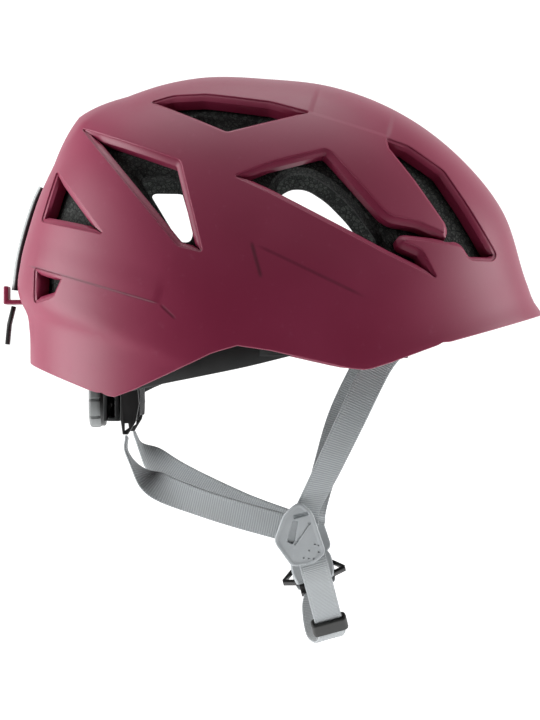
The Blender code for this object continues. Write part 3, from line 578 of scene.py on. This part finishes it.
hook_outline = [
    (-0.1420, 0.0250), (-0.1541, 0.0250), (-0.1541, 0.0350), (-0.1516, 0.0350), (-0.1516, 0.0275),
    (-0.1420, 0.0275),
]
hook_width = 0.016
work = bmesh.new()
ring = [work.verts.new((x, -hook_width / 2, z)) for x, z in hook_outline]
face = work.faces.new(ring)
pulled = bmesh.ops.extrude_face_region(work, geom=[face])["geom"]
far_ring = [made for made in pulled if isinstance(made, bmesh.types.BMVert)]
bmesh.ops.translate(work, vec=(0, hook_width, 0), verts=far_ring)
bmesh.ops.bevel(work, geom=work.edges[:], offset=0.0008, segments=3, affect="EDGES", profile=0.5)
bmesh.ops.recalc_face_normals(work, faces=work.faces)
hook_mesh = bpy.data.meshes.new("rear_lug")
work.to_mesh(hook_mesh)
work.free()
hook = bpy.data.objects.new("rear_lug", hook_mesh)
bpy.context.scene.collection.objects.link(hook)
combine(shell, hook, "UNION")
smooth(shell)

plastic = Finish("raspberry_shell", Roughness=0.46, Specular_IOR_Level=0.5)
x, y, z = plastic.parts(plastic.place())


def along_line(start, end, fade=0.004):
    """How far across a line on the side of the shell a point is, and 1 beside the line's length."""
    run = np.array(end) - start
    length = float(np.linalg.norm(run))
    dx, dz = (float(v) for v in run / length)
    across = (x - start[0]) * -dz + (z - start[1]) * dx
    along = (x - start[0]) * dx + (z - start[1]) * dz
    beside = along.over(0.0, fade) * (1.0 - along.over(length - fade, length))
    return across, beside


across, beside = along_line((-0.1380, 0.0450), (-0.0640, 0.0230), 0.006)
step_line = across.over(-0.0006, 0.0005) * beside * (1.0 - across.over(0.004, 0.016))
shadow = (1.0 - across.size().over(0.0002, 0.0011)) * beside
across, beside = along_line((-0.0650, 0.0236), (-0.0560, 0.0150), 0.003)
groove = (1.0 - across.size().over(0.0, 0.0012)) * beside
across, beside = along_line((-0.0180, 0.0560), (-0.0125, 0.0360), 0.003)
wedge = (1.0 - across.size().over(0.0, 0.0016)) * beside
across, beside = along_line((-0.0170, 0.0545), (0.0420, 0.0262), 0.010)
fold = across.over(-0.0010, 0.0008) * beside * (1.0 - across.over(0.004, 0.020))
shadow = shadow + (1.0 - across.size().over(0.0002, 0.0014)) * beside * 0.7
across, beside = along_line((0.0110, 0.1258), (0.0560, 0.1120), 0.004)
spine = across.over(-0.0012, 0.0012) * beside
lines = plastic.relief(step_line * 0.8 - spine * 0.7 + fold * 0.6 - groove * 0.3 - wedge * 0.3, 0.0006)
grain = plastic.relief(plastic.noise(1500.0, 3.0), 0.000012, lines)
cloudy = plastic.noise(18.0, 3.0).over(0.3, 0.7)
worn = plastic.noise(260.0, 4.0).over(0.62, 0.75)
tone = plastic.blend(cloudy, (0.215, 0.014, 0.050, 1), (0.235, 0.017, 0.058, 1))
tone = plastic.blend(worn * 0.10, tone, (0.36, 0.10, 0.17, 1))
# Painted shade: the base colour is darkened in the groove, the wedge and along the step and fold lines,
# where shade would fall in them
tone = plastic.blend(groove * 0.55 + wedge * 0.7 + shadow * 0.55, tone, (0.05, 0.004, 0.014, 1))
shell.data.materials.clear()
shell.data.materials.append(
    plastic.use(Base_Color=tone, Roughness=0.44 + cloudy * 0.05 + worn * 0.08, Normal=grain)
)
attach(shell, "root")
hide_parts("shell")

# ---------------------------------------------------------------- foam liner
# Expanded beads of charcoal foam. It lies against the shell, steps back under every vent, and its
# own through holes flare towards the outside.
holes = {
    "crown": [(-0.050, 0.131), (-0.012, 0.127), (-0.030, 0.117)],
    "rear_upper": [(-0.081, 0.098), (-0.060, 0.098), (-0.051, 0.067), (-0.053, 0.062),
                   (-0.060, 0.063)],
    "side": [(-0.006, 0.082), (-0.003, 0.0885), (0.004, 0.0925), (0.013, 0.0920), (0.024, 0.0850),
             (0.036, 0.073), (0.047, 0.0575), (0.049, 0.051)],
}
liner_outer, liner_inner = 0.0034, 0.0234  # under the shell's outer surface
bead_scale = 380.0
grid = dome_points(44, 0.016, 2)
away = normals_at(grid)[0]
place_angle = np.arctan2(grid[..., 2] - side_axis[1], grid[..., 0] - side_axis[0])
crest = crest_rise(place_angle, fill_of(grid[..., 0], grid[..., 2]))[..., None]
liner = slab("foam_beads", grid - away * (liner_outer + crest), grid - away * liner_inner, 3)
for outline in vents.values():
    soft = softened(outline, vent_corner)
    for side in (-1, 1):
        core = slab("core", grid + away * 0.002, grid - away * (flange_depth + 0.0015))
        frame_tool = vent_tool(soft, side, [(flange_width + 0.0008, plug_depth)])
        combine(liner, combine(core, frame_tool, "INTERSECT"))
for name, outline in holes.items():
    soft = softened(outline, 0.0050, 7)
    flare = 0.0010 if name == "crown" else 0.0040
    rings = [(flare, 0.0), (flare, 0.010), (0.0, 0.018), (0.0, 0.06)]
    for side in (-1, 1):
        combine(liner, vent_tool(soft, side, rings, name == "side"))
smooth(liner)

foam = Finish("bead_foam", Roughness=0.86, Specular_IOR_Level=0.28)
bead_tone = foam.parts(foam.cells(bead_scale, output="Color"))[0]
joints = foam.cells(bead_scale, feature="DISTANCE_TO_EDGE").over(0.0, 0.14)
speck = foam.noise(1400.0, 3.0).over(0.52, 0.70)
tone = foam.blend(bead_tone.over(0.1, 1.0), (0.012, 0.014, 0.013, 1), (0.045, 0.050, 0.046, 1))
tone = foam.blend(speck * 0.55, tone, (0.14, 0.15, 0.14, 1))
tone = foam.blend(1.0 - joints, tone, (0.010, 0.011, 0.011, 1))
foam_relief = foam.relief(joints * 0.8 + bead_tone * 0.4 + foam.noise(2400.0) * 0.3, 0.00022)
liner.data.materials.clear()
liner.data.materials.append(
    foam.use(Base_Color=tone, Roughness=0.78 + bead_tone * 0.15, Normal=foam_relief)
)
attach(liner, "root")
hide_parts("foam_liner")

# ---------------------------------------------------------------- headband and its studs
# A dark grey nylon bow in front, held in the liner by four black studs, and a springy arm on each
# side that ends in a toothed rack at the nape.
def moulded(name, low, high, roughness=0.5, scuffs=0.12, corner=0.0004):
    """Injection-moulded plastic: fine spark-eroded grain, slight clouding, paler scuffs."""
    finish = Finish(name, Specular_IOR_Level=0.45)
    cloud = finish.noise(60.0, 3.0).over(0.3, 0.7)
    scuffed = finish.noise(420.0, 4.0).over(0.60, 0.74)
    pale = tuple(min(value * 1.8 + 0.03, 1.0) for value in high)
    tone = finish.blend(cloud, (*low, 1), (*high, 1))
    tone = finish.blend(scuffed * scuffs, tone, (*pale, 1))
    rough = roughness - 0.03 + cloud * 0.06 + scuffed * 0.10
    grain = finish.relief(finish.noise(2600.0, 2.0), 0.000015, finish.rounded(corner))
    return finish.use(Base_Color=tone, Roughness=rough, Normal=grain)


def eased(name, material, width=0.0004):
    """A CAD piece that stays, with its corners broken as a mould leaves them."""
    sharp = math.radians(38)
    piece = nodes[name]
    piece.modifiers.new("Join corners", "WELD").merge_threshold = 0.00001
    corners = piece.modifiers.new("Broken corners", "BEVEL")
    corners.width = width
    corners.segments = 2
    corners.angle_limit = sharp
    corners.harden_normals = True
    piece.data.shade_smooth()
    piece.data.set_sharp_from_angle(angle=sharp)
    piece.material_slots[0].material = material
    return piece


nylon = moulded("grey_nylon", (0.018, 0.020, 0.020), (0.026, 0.028, 0.028), 0.55)
acetal = moulded("black_acetal", (0.008, 0.008, 0.008), (0.014, 0.014, 0.014), 0.42, 0.06)
for name in ("headband_front", "headband_arm_right", "headband_arm_left", "height_bracket"):
    eased(name, nylon)
for name in ("strap_anchor_right", "strap_anchor_left", "adjuster_housing", "adjuster_cover"):
    eased(name, nylon, 0.0005)
for place in ("front_right", "front_left", "side_right", "side_left"):
    eased(f"band_peg_{place}", acetal, 0.0003)
for name in ("nape_cradle", "pinion"):
    eased(name, acetal, 0.0002)

# ---------------------------------------------------------------- comfort pads
# Thin open-cell foam in a knitted black cover, welded along its edge. The brow pad has sewn
# channels across it, and the nape and crown pads are plain.
def stuffed(name, node, body, swell):
    """A pad blown up a little from its CAD solid by cloth under pressure, and no further than swell."""
    piece = bpy.data.objects.new(name, nodes[node].data.copy())
    bpy.context.scene.collection.objects.link(piece)
    piece.modifiers.new("Join corners", "WELD").merge_threshold = 0.00001
    skin = piece.modifiers.new("Even skin", "REMESH")
    skin.voxel_size = 0.0016
    graph = bpy.context.evaluated_depsgraph_get()
    mesh = bpy.data.meshes.new_from_object(piece.evaluated_get(graph))
    piece.modifiers.clear()
    piece.data = mesh
    rest = np.array([vertex.co for vertex in mesh.vertices])
    normals = np.array([vertex.normal for vertex in mesh.vertices])
    start = rest - normals * swell
    mesh.vertices.foreach_set("co", start.ravel())
    frames = 20
    cloth = piece.modifiers.new("Cover", "CLOTH")
    cloth.settings.use_pressure = True
    cloth.settings.uniform_pressure_force = 4.0
    cloth.settings.effector_weights.gravity = 0.0
    cloth.settings.quality = 4
    cloth.point_cache.frame_end = frames
    for step in range(1, frames + 1):
        bpy.context.scene.frame_set(step)
    graph = bpy.context.evaluated_depsgraph_get()
    blown = np.array([vertex.co for vertex in piece.evaluated_get(graph).data.vertices])
    move = blown - start
    far = np.linalg.norm(move, axis=1, keepdims=True)
    piece.modifiers.clear()
    start = start + move * np.minimum(1, swell / np.maximum(far, 1e-9))
    bpy.context.scene.frame_set(1)
    mesh.vertices.foreach_set("co", start.ravel())
    mesh.shade_smooth()
    relax = piece.modifiers.new("Soft corners", "SMOOTH")
    relax.factor = 0.5
    relax.iterations = 4
    finer = piece.modifiers.new("Finer cover", "SUBSURF")
    finer.levels = finer.render_levels = 1
    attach(piece, body)
    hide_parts(node)
    return piece


def knitted(name, channels):
    """A warp-knitted cover: rows of small loops, with sewn channels across it if there are any."""
    finish = Finish(name, Roughness=0.9, Specular_IOR_Level=0.2)
    finish.shader.inputs["Sheen Weight"].default_value = 0.35
    finish.shader.inputs["Sheen Roughness"].default_value = 0.4
    x, y, z = finish.parts(finish.place())
    loops = (y * 5200.0).wave() * (z * 5200.0 + (y * 2600.0).wave()).wave() * 0.5 + 0.5
    lint = finish.noise(900.0, 4.0).over(0.55, 0.8)
    tone = finish.blend(loops, (0.007, 0.007, 0.008, 1), (0.020, 0.020, 0.022, 1))
    tone = finish.blend(lint * 0.25, tone, (0.06, 0.06, 0.062, 1))
    height = loops * 0.2 + finish.noise(300.0) * 0.3
    if channels:
        seam = 1.0 - (y * 230.0).wave().size().over(0.0, 0.16)
        stitch = (z * 2600.0).wave().over(-0.2, 0.4)
        height = height - seam * 1.6 + seam * stitch * 0.5
        tone = finish.blend(seam * stitch * 0.5, tone, (0.05, 0.05, 0.052, 1))
    return finish.use(Base_Color=tone, Roughness=0.82 + loops * 0.12, Normal=finish.relief(height, 0.0005))


channelled, plain_knit = knitted("channelled_knit", True), knitted("plain_knit", False)
for name, node, body, cover in (
    ("brow_cushion", "brow_pad", "root", channelled),
    ("front_crown_cushion", "crown_pad_front", "root", plain_knit),
    ("rear_crown_cushion", "crown_pad_rear", "root", plain_knit),
    ("nape_cushion", "nape_pad", "nape_adjuster", plain_knit),
):
    cushion = stuffed(name, node, body, 0.0007)
    cushion.data.materials.clear()
    cushion.data.materials.append(cover)

# ---------------------------------------------------------------- dial
# A soft-touch dial with nine broad ribs over a black core, and a shallow dished face.
dial_low, dial_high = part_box("dial_knob")
dial_middle = (dial_low + dial_high) / 2
dial_radius = (dial_high.z - dial_low.z) / 2 - 0.00005


def turned(name, profile, steps, shape):
    """A solid about the X axis through the dial.

    The profile is (radius, how far back) pairs, and shape gives each angle's share of the radius.
    """
    vertices, faces = [], []
    for step in range(steps):
        angle = 2 * math.pi * step / steps
        for radius, back in profile:
            reach = radius * shape(angle)
            y, z = reach * math.cos(angle), dial_middle.z + reach * math.sin(angle)
            vertices.append((dial_high.x - back, y, z))
    count = len(profile)
    for step in range(steps):
        here, there = step * count, (step + 1) % steps * count
        for i in range(count - 1):
            faces.append((here + i, there + i, there + i + 1, here + i + 1))
    faces.append(tuple(step * count for step in range(steps)))
    faces.append(tuple(step * count + count - 1 for step in reversed(range(steps))))
    return build(name, vertices, faces)


def ribbed(angle, ribs=9):
    """1 on a rib of the dial, and less in the narrow grooves between ribs."""
    turn = (angle * ribs / (2 * math.pi)) % 1.0
    return 1.0 - 0.10 * max(0.0, 1 - abs(turn - 0.5) / 0.10)


depth = dial_high.x - dial_low.x
grip_profile = [
    (0.0138, 0.0022), (0.0148, 0.0024), (dial_radius - 0.0001, 0.0034), (dial_radius, 0.0045),
    (dial_radius, depth - 0.0016), (dial_radius - 0.0004, depth - 0.0007),
    (dial_radius - 0.0012, depth - 0.0002), (0.0130, depth), (0.0110, depth - 0.0002),
    (0.0095, depth - 0.0010), (0.0040, depth - 0.0013),
]
grip = smooth(turned("dial_grip", grip_profile, 180, ribbed), 50)
grip.data.materials.append(moulded("soft_touch_grey", (0.20, 0.21, 0.21), (0.25, 0.26, 0.26), 0.55))
core_profile = [(0.0060, 0.0), (0.0141, 0.0), (0.0146, 0.0006), (0.0146, 0.0030), (0.0060, 0.0030)]
core = smooth(turned("dial_core", core_profile, 90, lambda angle: 1.0), 50)
core.data.materials.append(acetal)
for piece, slot in ((grip, "dial_grey"), (core, "black_plastic")):
    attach(piece, "dial")
    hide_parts("dial_knob")

# ---------------------------------------------------------------- webbing
# Grey polyester webbing 15 mm wide: two front straps, two rear straps, and the chin strap with a
# short piece at the buckle. It has fine ribs across it and a stitched selvedge along each edge.
def curve_through(points, count):
    """Evenly numbered points on a smooth curve through the given ones."""
    points = np.array(points, float)
    slopes = np.gradient(points, axis=0)
    places = np.linspace(0, len(points) - 1, count)
    step = np.minimum(places.astype(int), len(points) - 2)
    t = (places - step)[:, None]
    return (
        points[step] * (1 + 2 * t) * (1 - t) ** 2
        + slopes[step] * t * (1 - t) ** 2
        + points[step + 1] * t**2 * (3 - 2 * t)
        + slopes[step + 1] * t**2 * (t - 1)
    )


def drawn_along(name, middle, across, section):
    """A textile drawn along a line, with how far across and along it as its UVs, in metres.

    The section is (how far across, how high) pairs, and across is the way its width lies.
    """
    along = unit(np.gradient(middle, axis=0))
    across = unit(across - along * np.sum(across * along, axis=1, keepdims=True))
    face = np.cross(along, across)
    shares, lifts = np.array(section).T
    rings = middle[:, None] + across[:, None] * shares[:, None] + face[:, None] * lifts[:, None]
    piece = build(name, rings.reshape(-1, 3), faces_of_rings(len(shares), len(middle)))
    length = np.insert(np.cumsum(np.linalg.norm(np.diff(middle, axis=0), axis=1)), 0, 0)
    chart = piece.data.uv_layers.new(name="weave")
    for loop in piece.data.loops:
        ring, spot = divmod(loop.vertex_index, len(shares))
        chart.data[loop.index].uv = (shares[spot], length[ring])
    return smooth(piece, 60)


webbing_half_width, webbing_half_thickness = 0.0075, 0.0007
upper_face = [(-1, 0.30), (-0.97, 0.80), (-0.88, 1.0), (-0.6, 0.86), (0, 0.84)]
upper_face += [(-share, lift) for share, lift in upper_face[-2::-1]]
strap_section = [*upper_face, *((share, -lift) for share, lift in upper_face[::-1])]
strap_section = np.array(strap_section) * (webbing_half_width, webbing_half_thickness)


def webbing(name, middle, across, node):
    """A woven strip with slightly fuller edges, in place of a node."""
    piece = drawn_along(name, middle, np.array(across, float), strap_section)
    piece.data.materials.append(polyester)
    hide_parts(node)
    return piece


weave = Finish("grey_polyester", Specular_IOR_Level=0.3)
weave.shader.inputs["Sheen Weight"].default_value = 0.25
weave.shader.inputs["Sheen Roughness"].default_value = 0.45
u, v, w = weave.parts(weave.node("ShaderNodeTexCoord", output="UV"))
rib_wave = (v * 5000.0).wave()
ribs = rib_wave * 0.5 + 0.5
yarns = (u * 15700.0 + rib_wave * 0.8).wave() * 0.5 + 0.5
edge = u.size().over(0.0060, 0.0066)
stitch_line = 1.0 - (u.size() - 0.0057).size().over(0.00020, 0.00045)
stitches = stitch_line * (v * 2500.0).wave().over(-0.3, 0.3)
fuzz = weave.noise(3000.0, 3.0)
shade = ribs * 0.45 + yarns * 0.25 + fuzz * 0.3
tone = weave.blend(shade.over(0.1, 0.9), (0.25, 0.27, 0.28, 1), (0.44, 0.465, 0.48, 1))
tone = weave.blend(weave.noise(45.0, 3.0).over(0.35, 0.7) * 0.18, tone, (0.24, 0.24, 0.23, 1))
tone = weave.blend(stitches * 0.22, tone, (0.52, 0.54, 0.55, 1))
height = ribs * 0.55 + yarns * 0.15 + fuzz * 0.15 + edge * 0.35 + stitches * 0.3
woven = weave.relief(height, 0.00022)
polyester = weave.use(Base_Color=tone, Roughness=0.78 + fuzz * 0.14, Normal=woven)

rear_routes = {
    "right": [(-0.0852, 0.0345, -0.0466), (-0.0852, 0.0355, -0.0545), (-0.0787, 0.0385, -0.0640),
              (-0.0672, 0.0440, -0.0730), (-0.0487, 0.0510, -0.0800), (-0.0284, 0.0580, -0.0862)],
    "left": [(-0.0846, 0.0345, -0.0466), (-0.0800, 0.0365, -0.0560), (-0.0690, 0.0410, -0.0650),
             (-0.0530, 0.0480, -0.0745), (-0.0240, 0.0580, -0.0885)],
}
rear_turns = {"right": (0.16, 0.72), "left": (0.04, 0.50)}
dividers = {}
for label, side in (("right", -1), ("left", 1)):
    shift = Vector((0.006, 0, -0.006)) if label == "left" else Vector()
    divider = Vector((0.0065, side * 0.066, -0.0965)) + shift
    dividers[label] = divider
    strap_y = side * (float(half_width(0.0545, 0.002)) - shell_wall - 0.0035 - 0.0041)
    route = [
        (0.0545, strap_y, 0.0015), (0.0465, strap_y - side * 0.0015, -0.0100),
        (0.0330, side * 0.0860, -0.0380),
        Vector((0.0210, side * 0.0760, -0.0640)) + shift * 0.5,
        divider + Vector((0.0048, side * -0.0015, 0.0120)),
        divider + Vector((0.0034, side * -0.0008, 0.0040)),
    ]
    starts, ends = Vector((0.90, 0, -0.43)), Vector((0.86, side * -0.35, 0.36))
    turns = [starts.lerp(ends, share) for share in np.linspace(0, 1, 50)]
    strap = webbing(f"front_webbing_{label}", curve_through(route, 50), turns, f"front_strap_{label}")
    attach(strap, "root")

    route = [Vector((x, side * y, z)) for x, y, z in rear_routes[label]]
    route.append(divider + Vector((-0.0090, side * -0.0015, 0.0035)))
    starts, ends = Vector((0, 1, 0)), Vector((0.20, -0.25, 0.95))
    begin, end = rear_turns[label]
    shares = np.clip((np.linspace(0, 1, 80) - begin) / (end - begin), 0, 1)
    turns = [starts.lerp(ends, share) for share in shares**2 * (3 - 2 * shares)]
    strap = webbing(f"rear_webbing_{label}", curve_through(route, 80), turns, f"rear_strap_{label}")
    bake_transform(strap)

# ---------------------------------------------------------------- strap dividers
# A pale grey plate on each side with a raised rim. The front strap goes in by the slot at the top,
# and the rear strap shows through the slanting window under it.
def lofted(name, outline, frame, rings):
    """A flat-sided solid: each ring is (how far inside the outline, how high) in the frame's axes."""
    flat = np.array(outline)
    ahead = np.roll(flat, -1, axis=0) - flat
    ahead /= np.maximum(np.linalg.norm(ahead, axis=1, keepdims=True), 1e-9)
    behind = np.roll(ahead, 1, axis=0)
    area = (flat[:, 0] * np.roll(flat[:, 1], -1) - np.roll(flat[:, 0], -1) * flat[:, 1]).sum()
    inwards = np.stack([-(ahead + behind)[:, 1], (ahead + behind)[:, 0]], axis=1) * np.sign(area)
    inwards /= np.maximum((inwards**2).sum(axis=1, keepdims=True) / 2, 0.7)
    vertices = []
    for inset, height in rings:
        for u, v in flat + inwards * inset:
            vertices.append(frame @ Vector((float(u), float(v), height)))
    return build(name, vertices, faces_of_rings(len(flat), len(rings)))


def rounded_rings(half, corner, steps=3):
    """Rings for a plate of this half thickness with rounded edges, back to front."""
    turns = [math.pi / 2 * step / steps for step in range(steps + 1)]
    front = [(corner * (1 - math.cos(turn)), half - corner * (1 - math.sin(turn))) for turn in turns]
    return [(inset, -height) for inset, height in reversed(front)] + front


def facing(point, along, across):
    """A frame at a point whose first axis is across and whose second runs along."""
    along = Vector(along).normalized()
    across = Vector(across)
    across = (across - along * across.dot(along)).normalized()
    placed = Matrix((across, along, across.cross(along))).transposed().to_4x4()
    placed.translation = point
    return placed


pale_plastic = moulded("pale_grey_nylon", (0.37, 0.395, 0.41), (0.42, 0.445, 0.46), 0.42, 0.10)
divider_outline = [
    (-0.0068, -0.0110), (-0.0010, -0.0158), (0.0030, -0.0172), (0.0086, -0.0110), (0.0136, 0.0120),
    (0.0065, 0.0174), (-0.0050, 0.0180), (-0.0132, 0.0030),
]
slot_outline = [(-0.0019, -0.0104), (0.0060, -0.0118), (0.0066, -0.0101), (-0.0012, -0.0086)]
window_outline = [
    (-0.0018, -0.0078), (0.0006, -0.0070), (-0.0022, 0.0041), (-0.0034, 0.0053), (-0.0060, 0.0036),
    (-0.0052, 0.0010),
]
dimples = [(0.0082, 0.0064), (0.0050, 0.0096), (0.0018, 0.0134), (0.0044, 0.0140), (0.0070, 0.0144),
           (0.0098, 0.0110), (0.0101, 0.0072)]
circle = [(math.cos(turn), math.sin(turn)) for turn in np.linspace(0, 2 * math.pi, 12, endpoint=False)]
groove_outline = [(-0.0028, 0.0056), (0.0062, -0.0056), (0.0068, -0.0051), (-0.0022, 0.0062)]
shallow = [(0, 0.0003), (0, 0.004)]
for label, side in (("right", -1), ("left", 1)):
    middle = dividers[label] + Vector((0, side * 0.0032, 0))
    placed = facing(middle, (0.10, side * -0.28, -1), (1, 0, 0)) @ Matrix.Diagonal((1, 1, side, 1))
    rings = rounded_rings(0.0013, 0.0007) + [(0.0017, 0.0013), (0.0022, 0.0009)]
    plate = lofted(f"divider_plate_{label}", softened(divider_outline, 0.0030), placed, rings)
    through = [(0.0, -0.004), (0.0, 0.0004), (-0.0004, 0.0010), (-0.0008, 0.003)]
    combine(plate, lofted("tool", softened(slot_outline, 0.0006), placed, through))
    recess = [(0.0, -0.0004), (0.0, 0.0004), (-0.0004, 0.0010), (-0.0008, 0.003)]
    combine(plate, lofted("tool", softened(window_outline, 0.0009), placed, recess))
    combine(plate, lofted("tool", groove_outline, placed, [(0, 0.0004), (0, 0.004)]))
    for (u, v), radius in [((0.0065, -0.0054), 0.0009), *((spot, 0.0005) for spot in dimples)]:
        ring = [(u + radius * a, v + radius * b) for a, b in circle]
        combine(plate, lofted("tool", ring, placed, shallow))
    notch = [(u * 0.0016 + 0.0045, v * 0.0013 + 0.0172) for u, v in circle]
    combine(plate, lofted("tool", notch, placed, shallow))
    smooth(plate, 40)
    plate.data.materials.clear()
    plate.data.materials.append(pale_plastic)
    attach(plate, "root")
    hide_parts(f"strap_divider_{label}")

# ---------------------------------------------------------------- chin strap, keeper and buckle
# The chin strap runs down from the right divider, through a black rubber keeper, and back up on the
# left to the plug. The plug's two black prongs stand out of the sides of the pale socket.
right, left = dividers["right"], dividers["left"]
keeper_middle = Vector((0.0240, -0.0222, -0.1488))
strap_top = right + Vector((0.0090, 0.0045, -0.0195))
line = (keeper_middle - strap_top).normalized()
socket_top = left + Vector((0.0015, -0.0075, -0.0130))
slide = Vector((0.17, -0.66, -0.73)).normalized()
buckle = socket_top + slide * 0.014
bar = buckle + slide * 0.0150
route = [
    strap_top + Vector((-0.0030, -0.0022, 0.0100)), strap_top, strap_top.lerp(keeper_middle, 0.5),
    keeper_middle, keeper_middle + line * 0.0055, keeper_middle + line * 0.0095,
    Vector((0.0235, -0.0020, -0.1584)), Vector((0.0190, 0.0150, -0.1558)),
    bar + slide * 0.010 - Vector((0.0035, 0, 0)), bar,
]
chin = webbing("chin_webbing", curve_through(route, 90), [(1, 0, 0.28)] * 90, "chin_strap")
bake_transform(chin)
short_strap = [left + Vector((0.0010, -0.0055, -0.0090)), socket_top + slide * 0.0020]
strap = webbing("socket_webbing", curve_through(short_strap, 12), [(1, 0, 0.1)] * 12, "buckle_strap")
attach(strap, "root")

keeper_frame = facing(keeper_middle, line, (1, 0, 0.28)) @ Matrix.Rotation(math.pi / 2, 4, "X")
half_length, half_depth, half_height = 0.0098, 0.0030, 0.00525
room_length, room_depth = 0.0080, 0.0012
square = [(-1, -1), (1, -1), (1, 1), (-1, 1)]
corners = [(u * half_length, v * half_depth) for u, v in square]
rings = rounded_rings(half_height, 0.0011, 4)
band = lofted("keeper_band", softened(corners, 0.0028, 7), keeper_frame, rings)
room = [(u * room_length, v * room_depth) for u, v in square]
combine(band, lofted("tool", softened(room, 0.0005), keeper_frame, [(0, -0.02), (0, 0.02)]))
smooth(band, 50)
rubber = moulded("keeper_rubber_skin", (0.006, 0.0065, 0.006), (0.011, 0.012, 0.011), 0.55, 0.08)
band.data.materials.clear()
band.data.materials.append(rubber)
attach(band, "keeper")
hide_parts("keeper")

socket_frame = facing(buckle - slide * 0.0010, slide, (1, 0, 0.25))
body_outline = [
    (-0.0104, -0.0100), (0.0104, -0.0100), (0.0120, -0.0060), (0.0120, 0.0030), (0.0106, 0.0098),
    (0.0040, 0.0084), (-0.0040, 0.0084), (-0.0106, 0.0098), (-0.0120, 0.0030), (-0.0120, -0.0060),
]
rings = rounded_rings(0.0040, 0.0014, 4)
housing = lofted("socket_body", softened(body_outline, 0.0022), socket_frame, rings)
hollow = [(-0.0095, -0.0062), (0.0095, -0.0062), (0.0131, -0.0050), (0.0131, 0.0200), (-0.0131, 0.0200),
          (-0.0131, -0.0050)]
combine(housing, lofted("tool", hollow, socket_frame, [(0, -0.0022), (0, 0.0022)]))
dish = [(a * 0.0060, b * 0.0045) for a, b in circle]
combine(housing, lofted("tool", dish, socket_frame, [(0.0012, 0.0034), (0, 0.0037), (0, 0.0060)]))
smooth(housing, 45)
housing.data.materials.clear()
housing.data.materials.append(pale_plastic)
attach(housing, "root")
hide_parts("buckle_socket")
eased("buckle_plug", acetal, 0.0004)

# ---------------------------------------------------------------- rear headlamp elastic
# A braided elastic that holds down the headlamp's band, silver outside and black inside: partly its own two
# tones, partly a painted highlight on the side that faces the rear lamp and painted shade on the side
# towards the shell. Its black tab is pulled to unhook it.
cord_route = [
    (-0.1336, 0, 0.0892), (-0.1377, 0, 0.0800), (-0.1429, 0, 0.0637), (-0.1464, 0, 0.0485),
    (-0.1484, 0, 0.0328),
]
cord_half_width, cord_half_thickness = 0.0036, 0.0019
turns = np.linspace(0, 2 * math.pi, 28, endpoint=False)
section = [(math.cos(turn) * cord_half_width, math.sin(turn) * cord_half_thickness) for turn in turns]
elastic = drawn_along("elastic_braid", curve_through(cord_route, 60), [(0.0, 1.0, 0.0)] * 60, section)
braid = Finish("braided_elastic", Specular_IOR_Level=0.4)
u, v, w = braid.parts(braid.node("ShaderNodeTexCoord", output="UV"))
yarn_u, yarn_v = u * 4200.0, v * 4200.0
left_yarn, right_yarn = (yarn_u + yarn_v).wave(), (yarn_u - yarn_v).wave()
plait = (left_yarn * right_yarn) * 0.5 + 0.5
x, y, z = braid.parts(braid.node("ShaderNodeNewGeometry", output="True Normal"))
# Painted highlight and shade: the braid is silver where it faces away from the shell, towards the rear
# lamp, and black where it faces the shell, partly its own two tones and partly painted light and shade
outward_silver_and_painted_light = (0.0 - x).over(0.05, 0.55)
tone = braid.blend(outward_silver_and_painted_light, (0.012, 0.012, 0.013, 1), (0.50, 0.53, 0.53, 1))
tone = braid.blend(plait.over(0.0, 0.9) * 0.45, tone, (0.08, 0.085, 0.085, 1))
elastic.data.materials.append(
    braid.use(Base_Color=tone, Roughness=0.62 + plait * 0.2, Normal=braid.relief(plait, 0.00018))
)
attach(elastic, "headlamp_loop")
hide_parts("headlamp_loop")
eased("pull_tab", rubber, 0.0005)
